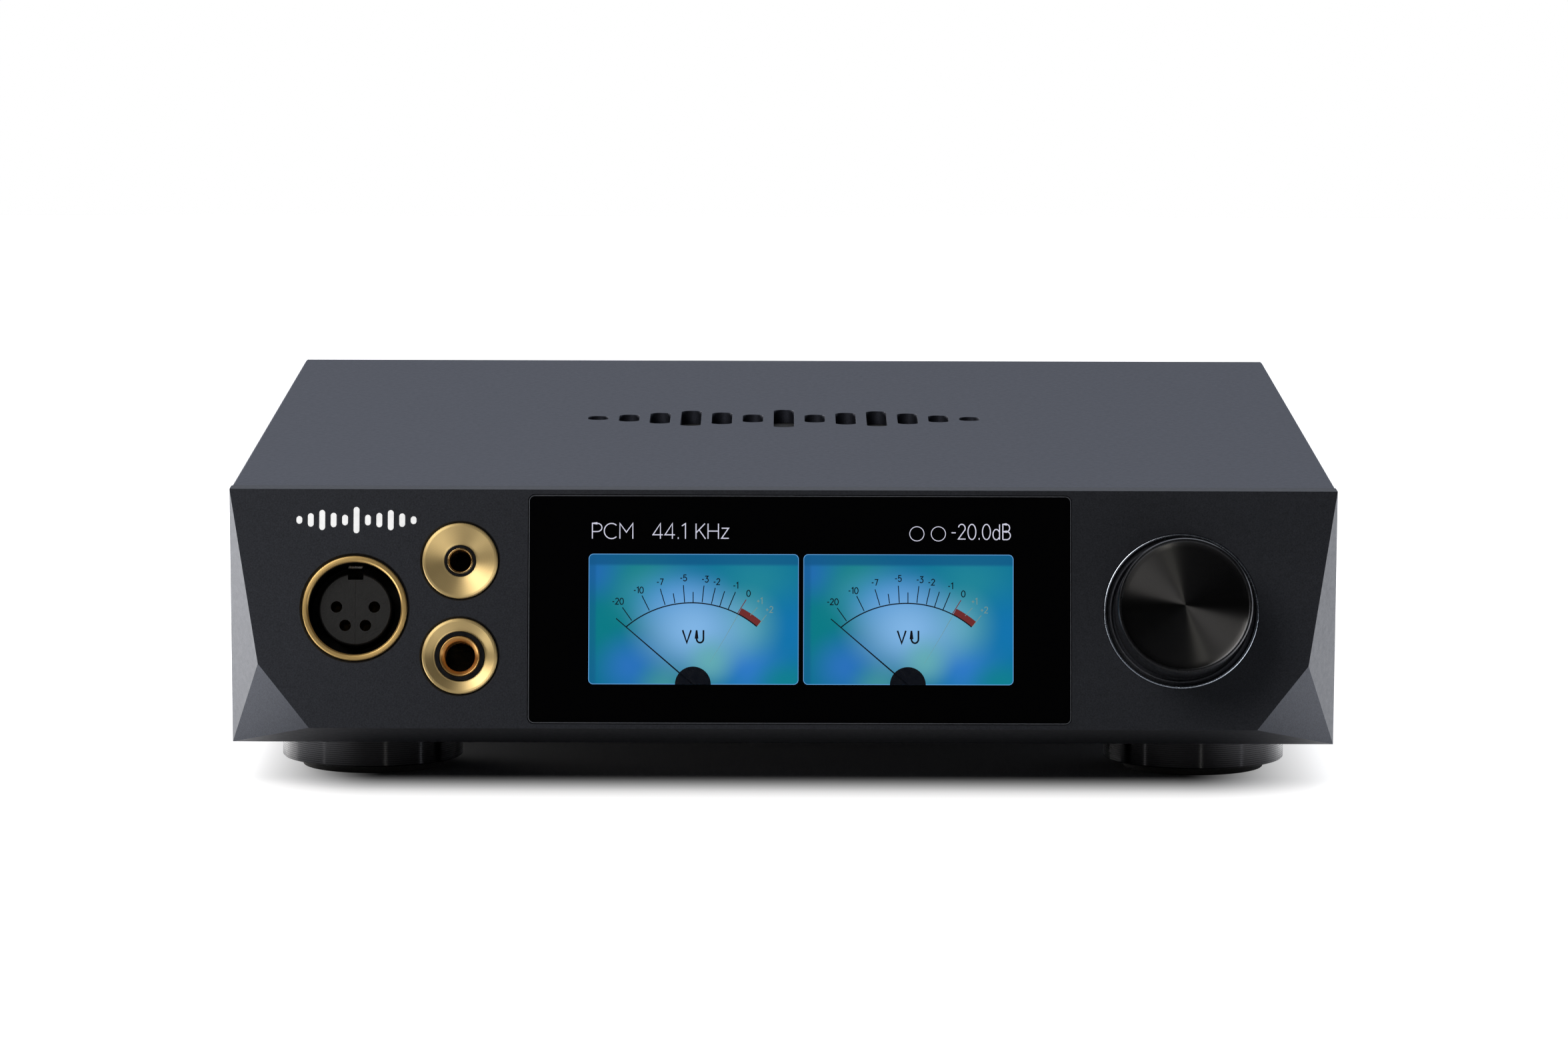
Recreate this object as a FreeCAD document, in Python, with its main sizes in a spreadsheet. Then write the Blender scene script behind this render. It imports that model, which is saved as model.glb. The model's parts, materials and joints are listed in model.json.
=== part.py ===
import FreeCAD, Part
import Sketcher
import math
import os

# ---------------------------------------------------------------------------
# Desktop DAC and headphone amplifier.
# Millimetres, +Z up, the front looks towards -Y, X runs to the right.
# z = 0 is the surface it stands on. y is written from the top front edge
# and moved by y_mid, so that the origin is under the middle of the case.
# ---------------------------------------------------------------------------

V = FreeCAD.Vector
doc = FreeCAD.newDocument("desktop_dac")
sheet = doc.addObject("Spreadsheet::Sheet", "dims")

DIMS = [
    ("body_w", 232.0, "case width"),
    ("top_z", 63.5, "height of the top above the table"),
    ("case_bottom", 9.1, "underside of the case, on top of the feet"),
    ("case_rear", 264.0, "rear edge of the cover behind the top front edge"),
    ("y_mid", 123.402, "shift that centres the row on its own box"),
    ("lean", 12.0, "the front face leans back by this angle, degrees"),
    ("strip", 6.0, "front panel thickness along the top"),
    ("face_len", 50.1, "front face height along the slope"),
    ("facet_b_in", 6.25, "side facet: inset of its lower corner"),
    ("facet_b_s", 36.7, "side facet: that corner, down the slope"),
    ("facet_c_in", 17.0, "corner facet: inset at the bottom edge"),
    ("panel_wall", 3.5, "front panel wall behind the front face"),
    ("seam", 0.12, "joint line between panel and cover"),
    ("wall", 3.0, "cover wall"),
    ("plate_t", 2.5, "bottom plate"),
    ("edge_c", 0.45, "edge break of the cover"),
    ("glass_left", 53.3, "display glass, left of centre"),
    ("glass_right", 60.2, "display glass, right of centre"),
    ("glass_top", 1.15, "display glass, top edge down the slope"),
    ("glass_low", 49.0, "display glass, bottom edge down the slope"),
    ("glass_t", 2.4, "display glass thickness"),
    ("glass_rad", 1.3, "display glass corner"),
    ("knob_x", 83.2, "knob centre"),
    ("knob_s", 25.2, "knob centre down the slope"),
    ("knob_rad", 14.0, "knob radius"),
    ("knob_len", 17.0, "knob stands out of the face"),
    ("ring_rad", 16.3, "trim ring round the knob"),
    ("shaft_rad", 3.0, "encoder shaft"),
    ("run_gap", 0.05, "running clearance, radial"),
    ("press_len", 0.5, "push travel of the knob"),
    ("xlr_x", 89.6, "4-pin socket, left of centre"),
    ("xlr_s", 25.0, "4-pin socket down the slope"),
    ("xlr_hole", 11.15, "panel hole radius for it"),
    ("xlr_mouth", 9.725, "mouth radius of the 4-pin socket"),
    ("jack_x", 67.6, "both jacks, left of centre"),
    ("jack_a_s", 15.0, "4.4 mm jack down the slope"),
    ("jack_b_s", 35.0, "6.35 mm jack down the slope"),
    ("jack_hole", 8.1, "panel hole radius for a jack"),
    ("jack_rim", 7.9, "outer radius of a jack bezel"),
    ("bore_a", 2.225, "4.4 mm jack bore radius"),
    ("bore_b", 3.2, "6.35 mm jack bore radius"),
    ("foot_x", 88.0, "feet, from the centre"),
    ("foot_front", 36.0, "front feet behind the top front edge"),
    ("foot_back", 228.0, "rear feet behind the top front edge"),
    ("foot_rad", 19.3, "foot radius"),
    ("pad_rad", 15.0, "rubber pad radius"),
    ("pad_t", 1.9, "rubber pad height"),
    ("vent_y", 136.6, "middle of the vent cut-out behind the top front edge"),
    ("vent_pitch", 7.0, "spacing of the vent slots"),
    ("vent_w", 4.6, "vent slot width"),
    ("board_z", 17.6, "underside of the circuit boards"),
    ("board_t", 1.6, "circuit board thickness"),
    ("rear_in", 259.0, "inner face of the rear panel"),
    ("inlet_x", 84.0, "mains inlet"),
    ("switch_x", 46.0, "power switch"),
    ("out_x", 88.0, "first balanced output, left of centre"),
    ("out_pitch", 31.0, "spacing of the balanced outputs"),
    ("out_z", 36.0, "height of the balanced outputs"),
    ("rca_x", 32.0, "line outputs, left of centre"),
]
for row, (alias, number, note) in enumerate(DIMS, 1):
    sheet.set("A%d" % row, alias)
    sheet.set("B%d" % row, str(number))
    sheet.setAlias("B%d" % row, alias)
    sheet.set("C%d" % row, note)
doc.recompute()


class Q:
    """A size: its number now, and the expression that ties it to the sheet."""

    def __init__(self, value, text):
        self.value, self.text = float(value), text

    @staticmethod
    def of(other):
        return other if isinstance(other, Q) else Q(other, repr(float(other)))

    def _op(self, other, sign, value, swap=False):
        other = Q.of(other)
        a, b = (other, self) if swap else (self, other)
        return Q(value(a.value, b.value), "(%s %s %s)" % (a.text, sign, b.text))

    def __add__(self, o): return self._op(o, "+", lambda a, b: a + b)
    def __radd__(self, o): return self._op(o, "+", lambda a, b: a + b, True)
    def __sub__(self, o): return self._op(o, "-", lambda a, b: a - b)
    def __rsub__(self, o): return self._op(o, "-", lambda a, b: a - b, True)
    def __mul__(self, o): return self._op(o, "*", lambda a, b: a * b)
    def __rmul__(self, o): return self._op(o, "*", lambda a, b: a * b, True)
    def __truediv__(self, o): return self._op(o, "/", lambda a, b: a / b)
    def __neg__(self): return Q(-self.value, "(0 - %s)" % self.text)


class Sizes:
    pass


d = Sizes()
for alias, number, note in DIMS:
    setattr(d, alias, Q(float(sheet.get(alias)), "dims." + alias))


def qsin(a):
    return Q(math.sin(math.radians(a.value)), "sin(%s)" % a.text)


def qcos(a):
    return Q(math.cos(math.radians(a.value)), "cos(%s)" % a.text)


def num(a):
    return a.value if isinstance(a, Q) else float(a)


def bind(obj, prop, value):
    obj.setExpression(prop, Q.of(value).text)


NODES = {}


def keep(node, obj):
    obj.Label = node
    NODES[node] = obj
    return obj


def place(obj, x=0, y=0, z=0, turn=0):
    """Position in design coordinates: y counts from the top front edge."""
    obj.Placement = FreeCAD.Placement(
        V(num(x), num(y) - d.y_mid.value, num(z)),
        FreeCAD.Rotation(V(1, 0, 0), num(turn)))
    bind(obj, "Placement.Base.x", x)
    bind(obj, "Placement.Base.y", Q.of(y) - d.y_mid)
    bind(obj, "Placement.Base.z", z)
    if isinstance(turn, Q):
        bind(obj, "Placement.Rotation.Angle", turn)
    return obj


def on_face(obj, x=0, s=0):
    """Put a body on the leaning front face: its z points out of the face,
    its y up the slope, and s is measured down the slope."""
    s = Q.of(s)
    return place(obj, x, -(s * qsin(d.lean)), d.top_z - s * qcos(d.lean),
                 90 - d.lean)


def on_rear(obj, x=0, z=0, y=None):
    """Put a body on the rear panel's outer face: its z points backwards,
    its y points down."""
    return place(obj, x, d.rear_in + 3 if y is None else y, z, -90)


def body(name):
    return doc.addObject("PartDesign::Body", name)


def plane(b, role):
    for f in b.Origin.OriginFeatures:
        if f.Role == role:
            return f
    raise RuntimeError(role)


def poly(*points):
    return ("path", [("L", x, y) for x, y in points])


def rect(x0, y0, x1, y1):
    return poly((x0, y0), (x1, y0), (x1, y1), (x0, y1))


def rrect(x0, y0, x1, y1, r):
    """Rounded rectangle, anticlockwise from the bottom edge."""
    return ("path", [
        ("L", x0 + r, y0), ("L", x1 - r, y0), ("A", x1, y0 + r, x1 - r, y0 + r, r),
        ("L", x1, y1 - r), ("A", x1 - r, y1, x1 - r, y1 - r, r),
        ("L", x0 + r, y1), ("A", x0, y1 - r, x0 + r, y1 - r, r),
        ("L", x0, y0 + r), ("A", x0 + r, y0, x0 + r, y0 + r, r)])


def stadium(cx, cy, w, length):
    """Slot with round ends, long along the second axis."""
    r = Q.of(w) / 2
    a = Q.of(length) / 2 - r
    return ("path", [
        ("L", cx + r, cy - a), ("L", cx + r, cy + a),
        ("A", cx - r, cy + a, cx, cy + a, r),
        ("L", cx - r, cy - a),
        ("A", cx + r, cy - a, cx, cy - a, r)])


def circle(cx, cy, r):
    return ("circle", cx, cy, r)


def sketch(b, name, role, profiles, offset=0):
    sk = b.newObject("Sketcher::SketchObject", name)
    sk.AttachmentSupport = [(plane(b, role), "")]
    sk.MapMode = "FlatFace"
    if num(offset) != 0 or isinstance(offset, Q):
        sk.AttachmentOffset = FreeCAD.Placement(V(0, 0, num(offset)), FreeCAD.Rotation())
        bind(sk, "AttachmentOffset.Base.z", offset)

    def fix(geo, pos, x, y):
        for kind, value in (("DistanceX", x), ("DistanceY", y)):
            k = sk.addConstraint(Sketcher.Constraint(kind, -1, 1, geo, pos, num(value)))
            if isinstance(value, Q):
                sk.setExpression("Constraints[%d]" % k, value.text)

    for prof in profiles:
        if prof[0] == "circle":
            _, cx, cy, r = prof
            g = sk.addGeometry(Part.Circle(V(num(cx), num(cy), 0), V(0, 0, 1), num(r)), False)
            fix(g, 3, cx, cy)
            k = sk.addConstraint(Sketcher.Constraint("Radius", g, num(r)))
            if isinstance(r, Q):
                sk.setExpression("Constraints[%d]" % k, r.text)
            continue
        path = prof[1]
        if path[0][0] == "L" and path[-1][0] == "A":
            # a rounded outline closes on its first point through the last arc
            points = path[:-1]
            closing = path[-1]
        else:
            points, closing = path, None
        first = points[0]
        ids, previous = [], first
        rest = points[1:] + [closing if closing else ("L", first[1], first[2])]
        for seg in rest:
            p0 = V(num(previous[1]), num(previous[2]), 0)
            p1 = V(num(seg[1]), num(seg[2]), 0)
            if seg[0] == "L":
                if (p1 - p0).Length < 1e-9:
                    previous = seg
                    continue
                g = sk.addGeometry(Part.LineSegment(p0, p1), False)
                ids.append((g, previous))
            else:
                c = V(num(seg[3]), num(seg[4]), 0)
                mid = c + ((p0 + p1) * 0.5 - c)
                if mid.sub(c).Length < 1e-6:
                    t = p1 - p0
                    mid = c + V(t.y, -t.x, 0).normalize() * num(seg[5])
                else:
                    mid = c + (mid - c).normalize() * num(seg[5])
                g = sk.addGeometry(Part.Arc(p0, mid, p1), False)
                if ((p0 + p1) * 0.5).sub(c).Length < 1e-6:
                    # a half round end: the height of its centre settles it
                    k, value = sk.addConstraint(Sketcher.Constraint(
                        "DistanceY", -1, 1, g, 3, num(seg[4]))), seg[4]
                else:
                    k, value = sk.addConstraint(Sketcher.Constraint("Radius", g, num(seg[5]))), seg[5]
                if isinstance(value, Q):
                    sk.setExpression("Constraints[%d]" % k, value.text)
                ids.append((g, previous))
            previous = seg
        n = len(ids)
        for i in range(n):
            sk.addConstraint(Sketcher.Constraint("Coincident", ids[i][0], 2, ids[(i + 1) % n][0], 1))
        for g, start in ids:
            fix(g, 1, start[1], start[2])
    return sk


def pad(b, name, sk, length, symmetric=False, backwards=False):
    f = b.newObject("PartDesign::Pad", name)
    f.Profile = sk
    bind(f, "Length", length)
    if symmetric:
        f.SideType = "Symmetric"
    f.Reversed = backwards
    doc.recompute()
    return f


def removed(b, before, name):
    doc.recompute()
    after = b.Shape.Volume
    if not after < before - 1e-4:
        raise RuntimeError("%s cut nothing: %g -> %g" % (name, before, after))


def pocket(b, name, sk, length, symmetric=False, backwards=False):
    doc.recompute()
    before = b.Shape.Volume
    f = b.newObject("PartDesign::Pocket", name)
    f.Profile = sk
    bind(f, "Length", length)
    if symmetric:
        f.SideType = "Symmetric"
    f.Reversed = backwards
    removed(b, before, name)
    return f


def revolve(b, name, sk, axis="V_Axis"):
    f = b.newObject("PartDesign::Revolution", name)
    f.Profile = sk
    f.ReferenceAxis = (sk, [axis])
    f.Angle = 360
    doc.recompute()
    return f


def groove(b, name, sk, axis="V_Axis"):
    doc.recompute()
    before = b.Shape.Volume
    f = b.newObject("PartDesign::Groove", name)
    f.Profile = sk
    f.ReferenceAxis = (sk, [axis])
    f.Angle = 360
    removed(b, before, name)
    return f


def turned(name, points):
    """A lathe piece about its own z: points are (radius, z)."""
    b = body(name)
    revolve(b, name + "_turned", sketch(b, name + "_profile", "XZ_Plane", [poly(*points)]))
    return b


def plate(name, profiles, length, offset=0, symmetric=False):
    b = body(name)
    pad(b, name + "_pad", sketch(b, name + "_outline", "XY_Plane", profiles, offset), length,
        symmetric)
    return b


def box(name, x0, x1, y0, y1, z0, z1):
    o = doc.addObject("Part::Box", name)
    x0, x1, y0, y1, z0, z1 = [Q.of(v) for v in (x0, x1, y0, y1, z0, z1)]
    bind(o, "Length", x1 - x0)
    bind(o, "Width", y1 - y0)
    bind(o, "Height", z1 - z0)
    return place(o, x0, y0, z0)


def cyl(name, x, y, z0, z1, r):
    o = doc.addObject("Part::Cylinder", name)
    bind(o, "Radius", r)
    bind(o, "Height", Q.of(z1) - z0)
    return place(o, x, y, z0)


def cut(name, base, tools):
    """Base minus every tool; the volume must fall."""
    tool = tools[0]
    if len(tools) > 1:
        tool = doc.addObject("Part::MultiFuse", name + "_tools")
        tool.Shapes = tools
    o = doc.addObject("Part::Cut", name)
    o.Base, o.Tool = base, tool
    doc.recompute()
    if not o.Shape.Volume < base.Shape.Volume - 1e-4:
        raise RuntimeError(name + " cut nothing")
    return o


def fuse(name, parts):
    o = doc.addObject("Part::MultiFuse", name)
    o.Shapes = parts
    doc.recompute()
    return o


def group(node, parts):
    o = doc.addObject("Part::Compound", node + "_group")
    o.Links = parts
    doc.recompute()
    return keep(node, o)


def gy(y, z):
    """Design y, z to the leaning face's own (up-slope, outward) pair."""
    y, z = Q.of(y), Q.of(z)
    dz = z - d.top_z
    return (y * qsin(d.lean) + dz * qcos(d.lean), dz * qsin(d.lean) - y * qcos(d.lean))


# ---------------------------------------------------------------------------
# Front panel: milled from solid, convex and faceted, leaning back.
# ---------------------------------------------------------------------------
panel = on_face(body("panel_body"))
pad(panel, "panel_block", sketch(panel, "panel_side", "YZ_Plane", [poly(
    (-d.face_len, 0), gy(d.strip, d.case_bottom), gy(d.strip, d.top_z), (0, 0))]),
    d.body_w, symmetric=True)
# hollow behind the face, open to the rear
pocket(panel, "panel_hollow", sketch(panel, "panel_hollow_side", "YZ_Plane", [poly(
    (-2.83, -d.panel_wall), (-47.46, -d.panel_wall), (-48.98, -17.57), (-1.97, -7.574))]),
    194, symmetric=True)
pocket(panel, "panel_socket_room", sketch(panel, "panel_socket_ring", "XY_Plane", [
    circle(-d.xlr_x, -d.xlr_s, 12.6)], -d.panel_wall), 20)
pocket(panel, "panel_guide_room", sketch(panel, "panel_guide_rect", "XY_Plane", [
    rect(-103.6, -10.3, -75.2, -3.4)], -d.panel_wall), 6)
# rebate for the glass, then the window through to the display
pocket(panel, "panel_rebate", sketch(panel, "panel_rebate_rect", "XY_Plane", [
    rrect(-d.glass_left - 0.15, -d.glass_low - 0.15, d.glass_right + 0.15, -d.glass_top + 0.15,
          d.glass_rad + 0.15)]), d.glass_t + 0.1)
pocket(panel, "panel_window", sketch(panel, "panel_window_rect", "XY_Plane", [
    rect(-49.8, -46.4, 56.8, -4.5)]), 5)
# round holes for the sockets, and the seat of the knob
pocket(panel, "panel_holes", sketch(panel, "panel_hole_rings", "XY_Plane", [
    circle(-d.xlr_x, -d.xlr_s, d.xlr_hole),
    circle(-d.jack_x, -d.jack_a_s, d.jack_hole),
    circle(-d.jack_x, -d.jack_b_s, d.jack_hole)]), 4)
pocket(panel, "panel_knob_seat", sketch(panel, "panel_knob_ring", "XY_Plane", [
    circle(d.knob_x, -d.knob_s, d.ring_rad + 0.02)]), 2)
pocket(panel, "panel_bush_hole", sketch(panel, "panel_bush_ring", "XY_Plane", [
    circle(d.knob_x, -d.knob_s, 4.6)]), 5)
# slots for the light guide: a generic waveform of bars
GUIDE = [1.6, 2.8, 4.2, 3.0, 2.2, 5.5, 2.2, 3.0, 4.2, 2.8, 1.6]
pocket(panel, "panel_guide_slots", sketch(panel, "panel_guide_bars", "XY_Plane", [
    stadium(-89.35 + 2.39 * (i - 5), -6.5, 1.3, length + 0.1)
    for i, length in enumerate(GUIDE)]), 5)


def half_space(name, p, q, r, inside):
    """A large block with one face in the plane of three points, lying on the
    far side from the point inside."""
    normal = (q - p).cross(r - p).normalize()
    if normal.dot(inside - p) > 0:
        normal = normal * -1
    o = doc.addObject("Part::Box", name)
    o.Length, o.Width, o.Height = 160, 160, 40
    turn = FreeCAD.Rotation(V(0, 0, 1), normal)
    middle = (p + q + r) * (1.0 / 3)
    o.Placement = FreeCAD.Placement(middle - turn.multVec(V(80, 80, 0)), turn)
    return o


def corner(side, inset, s):
    """A point on the front face: inset from the case side, s down the slope."""
    lean = math.radians(d.lean.value)
    return V(side * (d.body_w.value / 2 - inset), -s * math.sin(lean) - d.y_mid.value,
             d.top_z.value - s * math.cos(lean))


facets = []
for side, tag in ((-1, "left"), (1, "right")):
    a = corner(side, 0, 0)
    b = corner(side, d.facet_b_in.value, d.facet_b_s.value)
    c = corner(side, d.facet_c_in.value, d.face_len.value)
    e = V(side * d.body_w.value / 2, d.strip.value - d.y_mid.value, d.case_bottom.value)
    middle = V(0, d.strip.value - d.y_mid.value, 40)
    facets.append(half_space("side_facet_" + tag, a, b, e, middle))
    facets.append(half_space("corner_facet_" + tag, b, c, e, middle))
# the sockets' holes are countersunk a little
for tag, x, s, r, deep in (("xlr", -d.xlr_x, d.xlr_s, d.xlr_hole, 0.4),
                           ("jack_a", -d.jack_x, d.jack_a_s, d.jack_hole, 0.32),
                           ("jack_b", -d.jack_x, d.jack_b_s, d.jack_hole, 0.32)):
    sink = doc.addObject("Part::Cone", "sink_" + tag)
    bind(sink, "Radius1", r)
    bind(sink, "Radius2", r + deep + 0.05)
    bind(sink, "Height", deep + 0.05)
    place(sink, x, -(s * qsin(d.lean)) + deep * qcos(d.lean),
          d.top_z - s * qcos(d.lean) - deep * qsin(d.lean), 90 - d.lean)
    facets.append(sink)
keep("front_panel", cut("front_panel_cut", panel, facets))

# ---------------------------------------------------------------------------
# Cover: one folded-looking shell, top and both sides, with the vent slots.
# ---------------------------------------------------------------------------
half = d.body_w / 2
cover = place(body("top_cover"), 0, d.strip + d.seam, 0)
pad(cover, "cover_shell", sketch(cover, "cover_section", "XZ_Plane", [poly(
    (-half, d.case_bottom), (-half + d.wall, d.case_bottom),
    (-half + d.wall, d.top_z - d.wall), (half - d.wall, d.top_z - d.wall),
    (half - d.wall, d.case_bottom), (half, d.case_bottom),
    (half, d.top_z - d.edge_c), (half - d.edge_c, d.top_z),
    (-half + d.edge_c, d.top_z), (-half, d.top_z - d.edge_c))]),
    d.case_rear - d.strip - d.seam, backwards=True)
VENT = [8, 14, 22, 31, 24, 16, 35.8, 16, 24, 31, 22, 14, 8]
pocket(cover, "cover_vent", sketch(cover, "cover_vent_slots", "XY_Plane", [
    stadium((i - 6) * d.vent_pitch, d.vent_y - d.strip - d.seam, d.vent_w, length)
    for i, length in enumerate(VENT)], d.top_z), d.wall + 1)
keep("top_cover", cover)

screen = place(plate("vent_screen", [rect(-50, -22, 50, 22)], 0.4), 0, d.vent_y,
               d.top_z - d.wall - 0.4)
keep("vent_screen", screen)

# ---------------------------------------------------------------------------
# Bottom plate, rear panel and the two rails that tie the case together.
# ---------------------------------------------------------------------------
FEET = [(sx * d.foot_x, y) for y in (d.foot_front, d.foot_back) for sx in (-1, 1)]
RAIL_Y = (24, 132, 246)
bottom = place(body("bottom_plate"), 0, 0, d.case_bottom)
pad(bottom, "bottom_slab", sketch(bottom, "bottom_outline", "XY_Plane", [
    rect(-half + d.wall + 0.1, d.strip + 0.2, half - d.wall - 0.1, d.rear_in + 3)]), d.plate_t)
pocket(bottom, "bottom_holes", sketch(bottom, "bottom_hole_rings", "XY_Plane",
    [circle(x, y, 2.2) for x, y in FEET] +
    [circle(sx * 108.4, y, 1.6) for sx in (-1, 1) for y in RAIL_Y] +
    [stadium(sx * 40 + 7 * i, 130, 3, 60) for sx in (-1, 1) for i in range(-3, 4)]),
    d.plate_t + 1, backwards=True)
pocket(bottom, "bottom_sinks", sketch(bottom, "bottom_sink_rings", "XY_Plane",
    [circle(sx * 108.4, y, 3.0) for sx in (-1, 1) for y in RAIL_Y]), 1.3, backwards=True)
keep("bottom_plate", bottom)

rails = []
for sx, tag in ((-1, "left"), (1, "right")):
    rail = place(body("side_rail_" + tag), sx * 108.4, d.strip + 0.2, d.case_bottom + d.plate_t)
    pad(rail, "rail_bar_" + tag, sketch(rail, "rail_section_" + tag, "XZ_Plane", [poly(
        (-4.4, 0), (4.4, 0), (4.4, 30), (sx * 4.4 + 1.3 if sx < 0 else 4.4 - 2.6, 30),
        (4.4 - 2.6, 8.8), (-4.4, 8.8)) if sx > 0 else poly(
        (-4.4, 0), (4.4, 0), (4.4, 8.8), (-1.8, 8.8), (-1.8, 30), (-4.4, 30))]),
        d.rear_in - d.strip - 0.3, backwards=True)
    pocket(rail, "rail_taps_" + tag, sketch(rail, "rail_tap_rings_" + tag, "XY_Plane",
        [circle(0, y - d.strip - 0.2, 1.52) for y in RAIL_Y]), 7, backwards=True)
    rails.append(rail)
group("side_rails", rails)

# rear panel, cut out for its connectors
rear = on_rear(body("rear_panel"), 0, 0)
zc = 36.0
XLR_OUT = [-d.out_x, -d.out_x + d.out_pitch]
RCA = [(-d.rca_x, 45.0), (-d.rca_x, 27.0), (-d.rca_x + 19, 27.0)]
pad(rear, "rear_sheet", sketch(rear, "rear_outline", "XY_Plane", [
    rect(-half + d.wall + 0.2, -(d.top_z - d.wall - 0.1), half - d.wall - 0.2,
         -(d.case_bottom + d.plate_t + 0.1))]), 3, backwards=True)
pocket(rear, "rear_cuts", sketch(rear, "rear_cut_outlines", "XY_Plane",
    [rect(d.inlet_x - 14.2, -53.7, d.inlet_x + 14.2, -16.8),
     rect(d.switch_x - 8.2, -48.7, d.switch_x + 8.2, -23.3),
     rect(-0.4, -33.2, 12.4, -21.3),
     rect(-18.2, -50.2, -7.8, -39.8)] +
    [circle(x, -d.out_z, 12.1) for x in XLR_OUT] +
    [circle(x, -z, 4.6) for x, z in RCA]), 4)
REAR_SCREWS = [(-108.4, 16.0), (108.4, 16.0), (-108.4, 56.0), (108.4, 56.0)]
pocket(rear, "rear_screw_holes", sketch(rear, "rear_screw_rings", "XY_Plane",
    [circle(x, -z, 1.6) for x, z in REAR_SCREWS]), 4)
keep("rear_panel", rear)

# ---------------------------------------------------------------------------
# Display stack behind the glass.
# ---------------------------------------------------------------------------
glass = on_face(body("display_glass"))
pad(glass, "glass_slab", sketch(glass, "glass_outline", "XY_Plane", [
    rrect(-d.glass_left, -d.glass_low, d.glass_right, -d.glass_top, d.glass_rad)],
    -d.glass_t), d.glass_t)
keep("display_glass", glass)
lcd = on_face(plate("lcd_module", [rect(-49.4, -46.1, 56.4, -4.8)], 3.4, -d.glass_t - 3.5))
keep("lcd_module", lcd)
bracket = on_face(body("display_bracket"))
pad(bracket, "bracket_sheet", sketch(bracket, "bracket_outline", "XY_Plane", [
    rect(-56, -46.9, 62, -4.0), rect(-40, -40, 47, -11)], -7.2), 1.2)
keep("display_bracket", bracket)
driver = on_face(plate("display_driver_board", [rect(-46, -44, 52, -8)], 1.6, -10.4))
keep("display_driver_board", driver)
flex = place(body("display_flex_cable"), 0, 0, 0)
pad(flex, "flex_strip", sketch(flex, "flex_side", "YZ_Plane", [poly(
    (3.4, 24.2), (20.0, 24.2), (52.0, 20.6), (56.0, 20.6), (56.0, 21.0), (52.1, 21.0),
    (20.1, 24.6), (3.4, 24.6))]), 24, symmetric=True)
keep("display_flex_cable", flex)

# ---------------------------------------------------------------------------
# Volume knob on a push encoder. z is along the shaft, 0 at the panel face.
# ---------------------------------------------------------------------------
ring = on_face(turned("knob_trim_ring", [
    (14.5, -2.0), (d.ring_rad, -2.0), (d.ring_rad, -0.55), (d.ring_rad - 0.62, 0.0 - 0.0),
    (d.ring_rad - 0.72, -0.05), (15.0, -0.75), (14.5, -0.9)]), d.knob_x, -(-d.knob_s))
keep("knob_trim_ring", ring)

knob = on_face(body("volume_knob"), d.knob_x, d.knob_s)
revolve(knob, "knob_turned", sketch(knob, "knob_profile", "XZ_Plane", [poly(
    (d.shaft_rad + 0.01, 5.0), (8.0, 5.0), (8.0, -1.2), (d.knob_rad - 0.4, -1.2), (d.knob_rad, -0.8),
    (d.knob_rad, d.knob_len - 0.45), (d.knob_rad - 0.4, d.knob_len), (d.knob_rad - 0.75, d.knob_len),
    (d.knob_rad - 0.95, d.knob_len - 0.12),
    (0, d.knob_len - 0.12), (0, 14.2), (d.shaft_rad + 0.01, 14.2))]))
pocket(knob, "knob_screw_hole", sketch(knob, "knob_screw_ring", "XZ_Plane",
    [circle(0, 8.0, 1.5)]), 20, backwards=True)
keep("volume_knob", knob)
grub = on_face(body("knob_set_screw"), d.knob_x, d.knob_s)
pad(grub, "grub_bar", sketch(grub, "grub_ring", "XZ_Plane", [circle(0, 8.0, 1.48)],
                             d.shaft_rad + 0.1), 5.0)
pocket(grub, "grub_socket", sketch(grub, "grub_hex", "XZ_Plane", [poly(
    *[(0.75 * math.cos(math.radians(60 * k)), 8.0 + 0.75 * math.sin(math.radians(60 * k)))
      for k in range(6)])], d.shaft_rad + 5.1), 1.5)
keep("knob_set_screw", grub)

shaft = on_face(body("encoder_shaft"), d.knob_x, d.knob_s)
revolve(shaft, "shaft_turned", sketch(shaft, "shaft_profile", "XZ_Plane", [poly(
    (0, -8.6), (1.5, -8.6), (1.5, -5.9), (d.shaft_rad, -5.9), (d.shaft_rad, 13.6),
    (d.shaft_rad - 0.5, 14.1), (0, 14.1))]))
keep("encoder_shaft", shaft)

enc = on_face(body("encoder_body"), d.knob_x, d.knob_s)
pad(enc, "encoder_case", sketch(enc, "encoder_square", "XY_Plane", [
    rect(-6.6, -6.6, 6.6, 6.6)], -11.6), 8.1)
revolve(enc, "encoder_bush", sketch(enc, "encoder_bush_profile", "XZ_Plane", [poly(
    (d.shaft_rad + d.run_gap, -4.0), (4.5, -4.0), (4.5, 2.6), (4.1, 3.0),
    (d.shaft_rad + d.run_gap, 3.0))]))
groove(enc, "encoder_bore", sketch(enc, "encoder_bore_profile", "XZ_Plane", [poly(
    (0, -10.6), (4.6, -10.6), (4.6, -5.0), (d.shaft_rad + d.run_gap, -5.0),
    (d.shaft_rad + d.run_gap, -3.4), (0, -3.4))]))
keep("encoder_body", enc)
nut = on_face(body("encoder_nut"), d.knob_x, d.knob_s)
pad(nut, "nut_hex", sketch(nut, "nut_outline", "XY_Plane", [poly(
    *[(6.3 * math.cos(math.radians(60 * k)), 6.3 * math.sin(math.radians(60 * k)))
      for k in range(6)]), circle(0, 0, 4.52)], -2.0), 2.0)
keep("encoder_nut", nut)
plunger = on_face(turned("encoder_plunger", [
    (1.5 + d.run_gap, -8.0), (4.3, -8.0), (4.3, -6.0), (1.5 + d.run_gap, -6.0)]),
    d.knob_x, d.knob_s)
keep("encoder_plunger", plunger)

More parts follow.
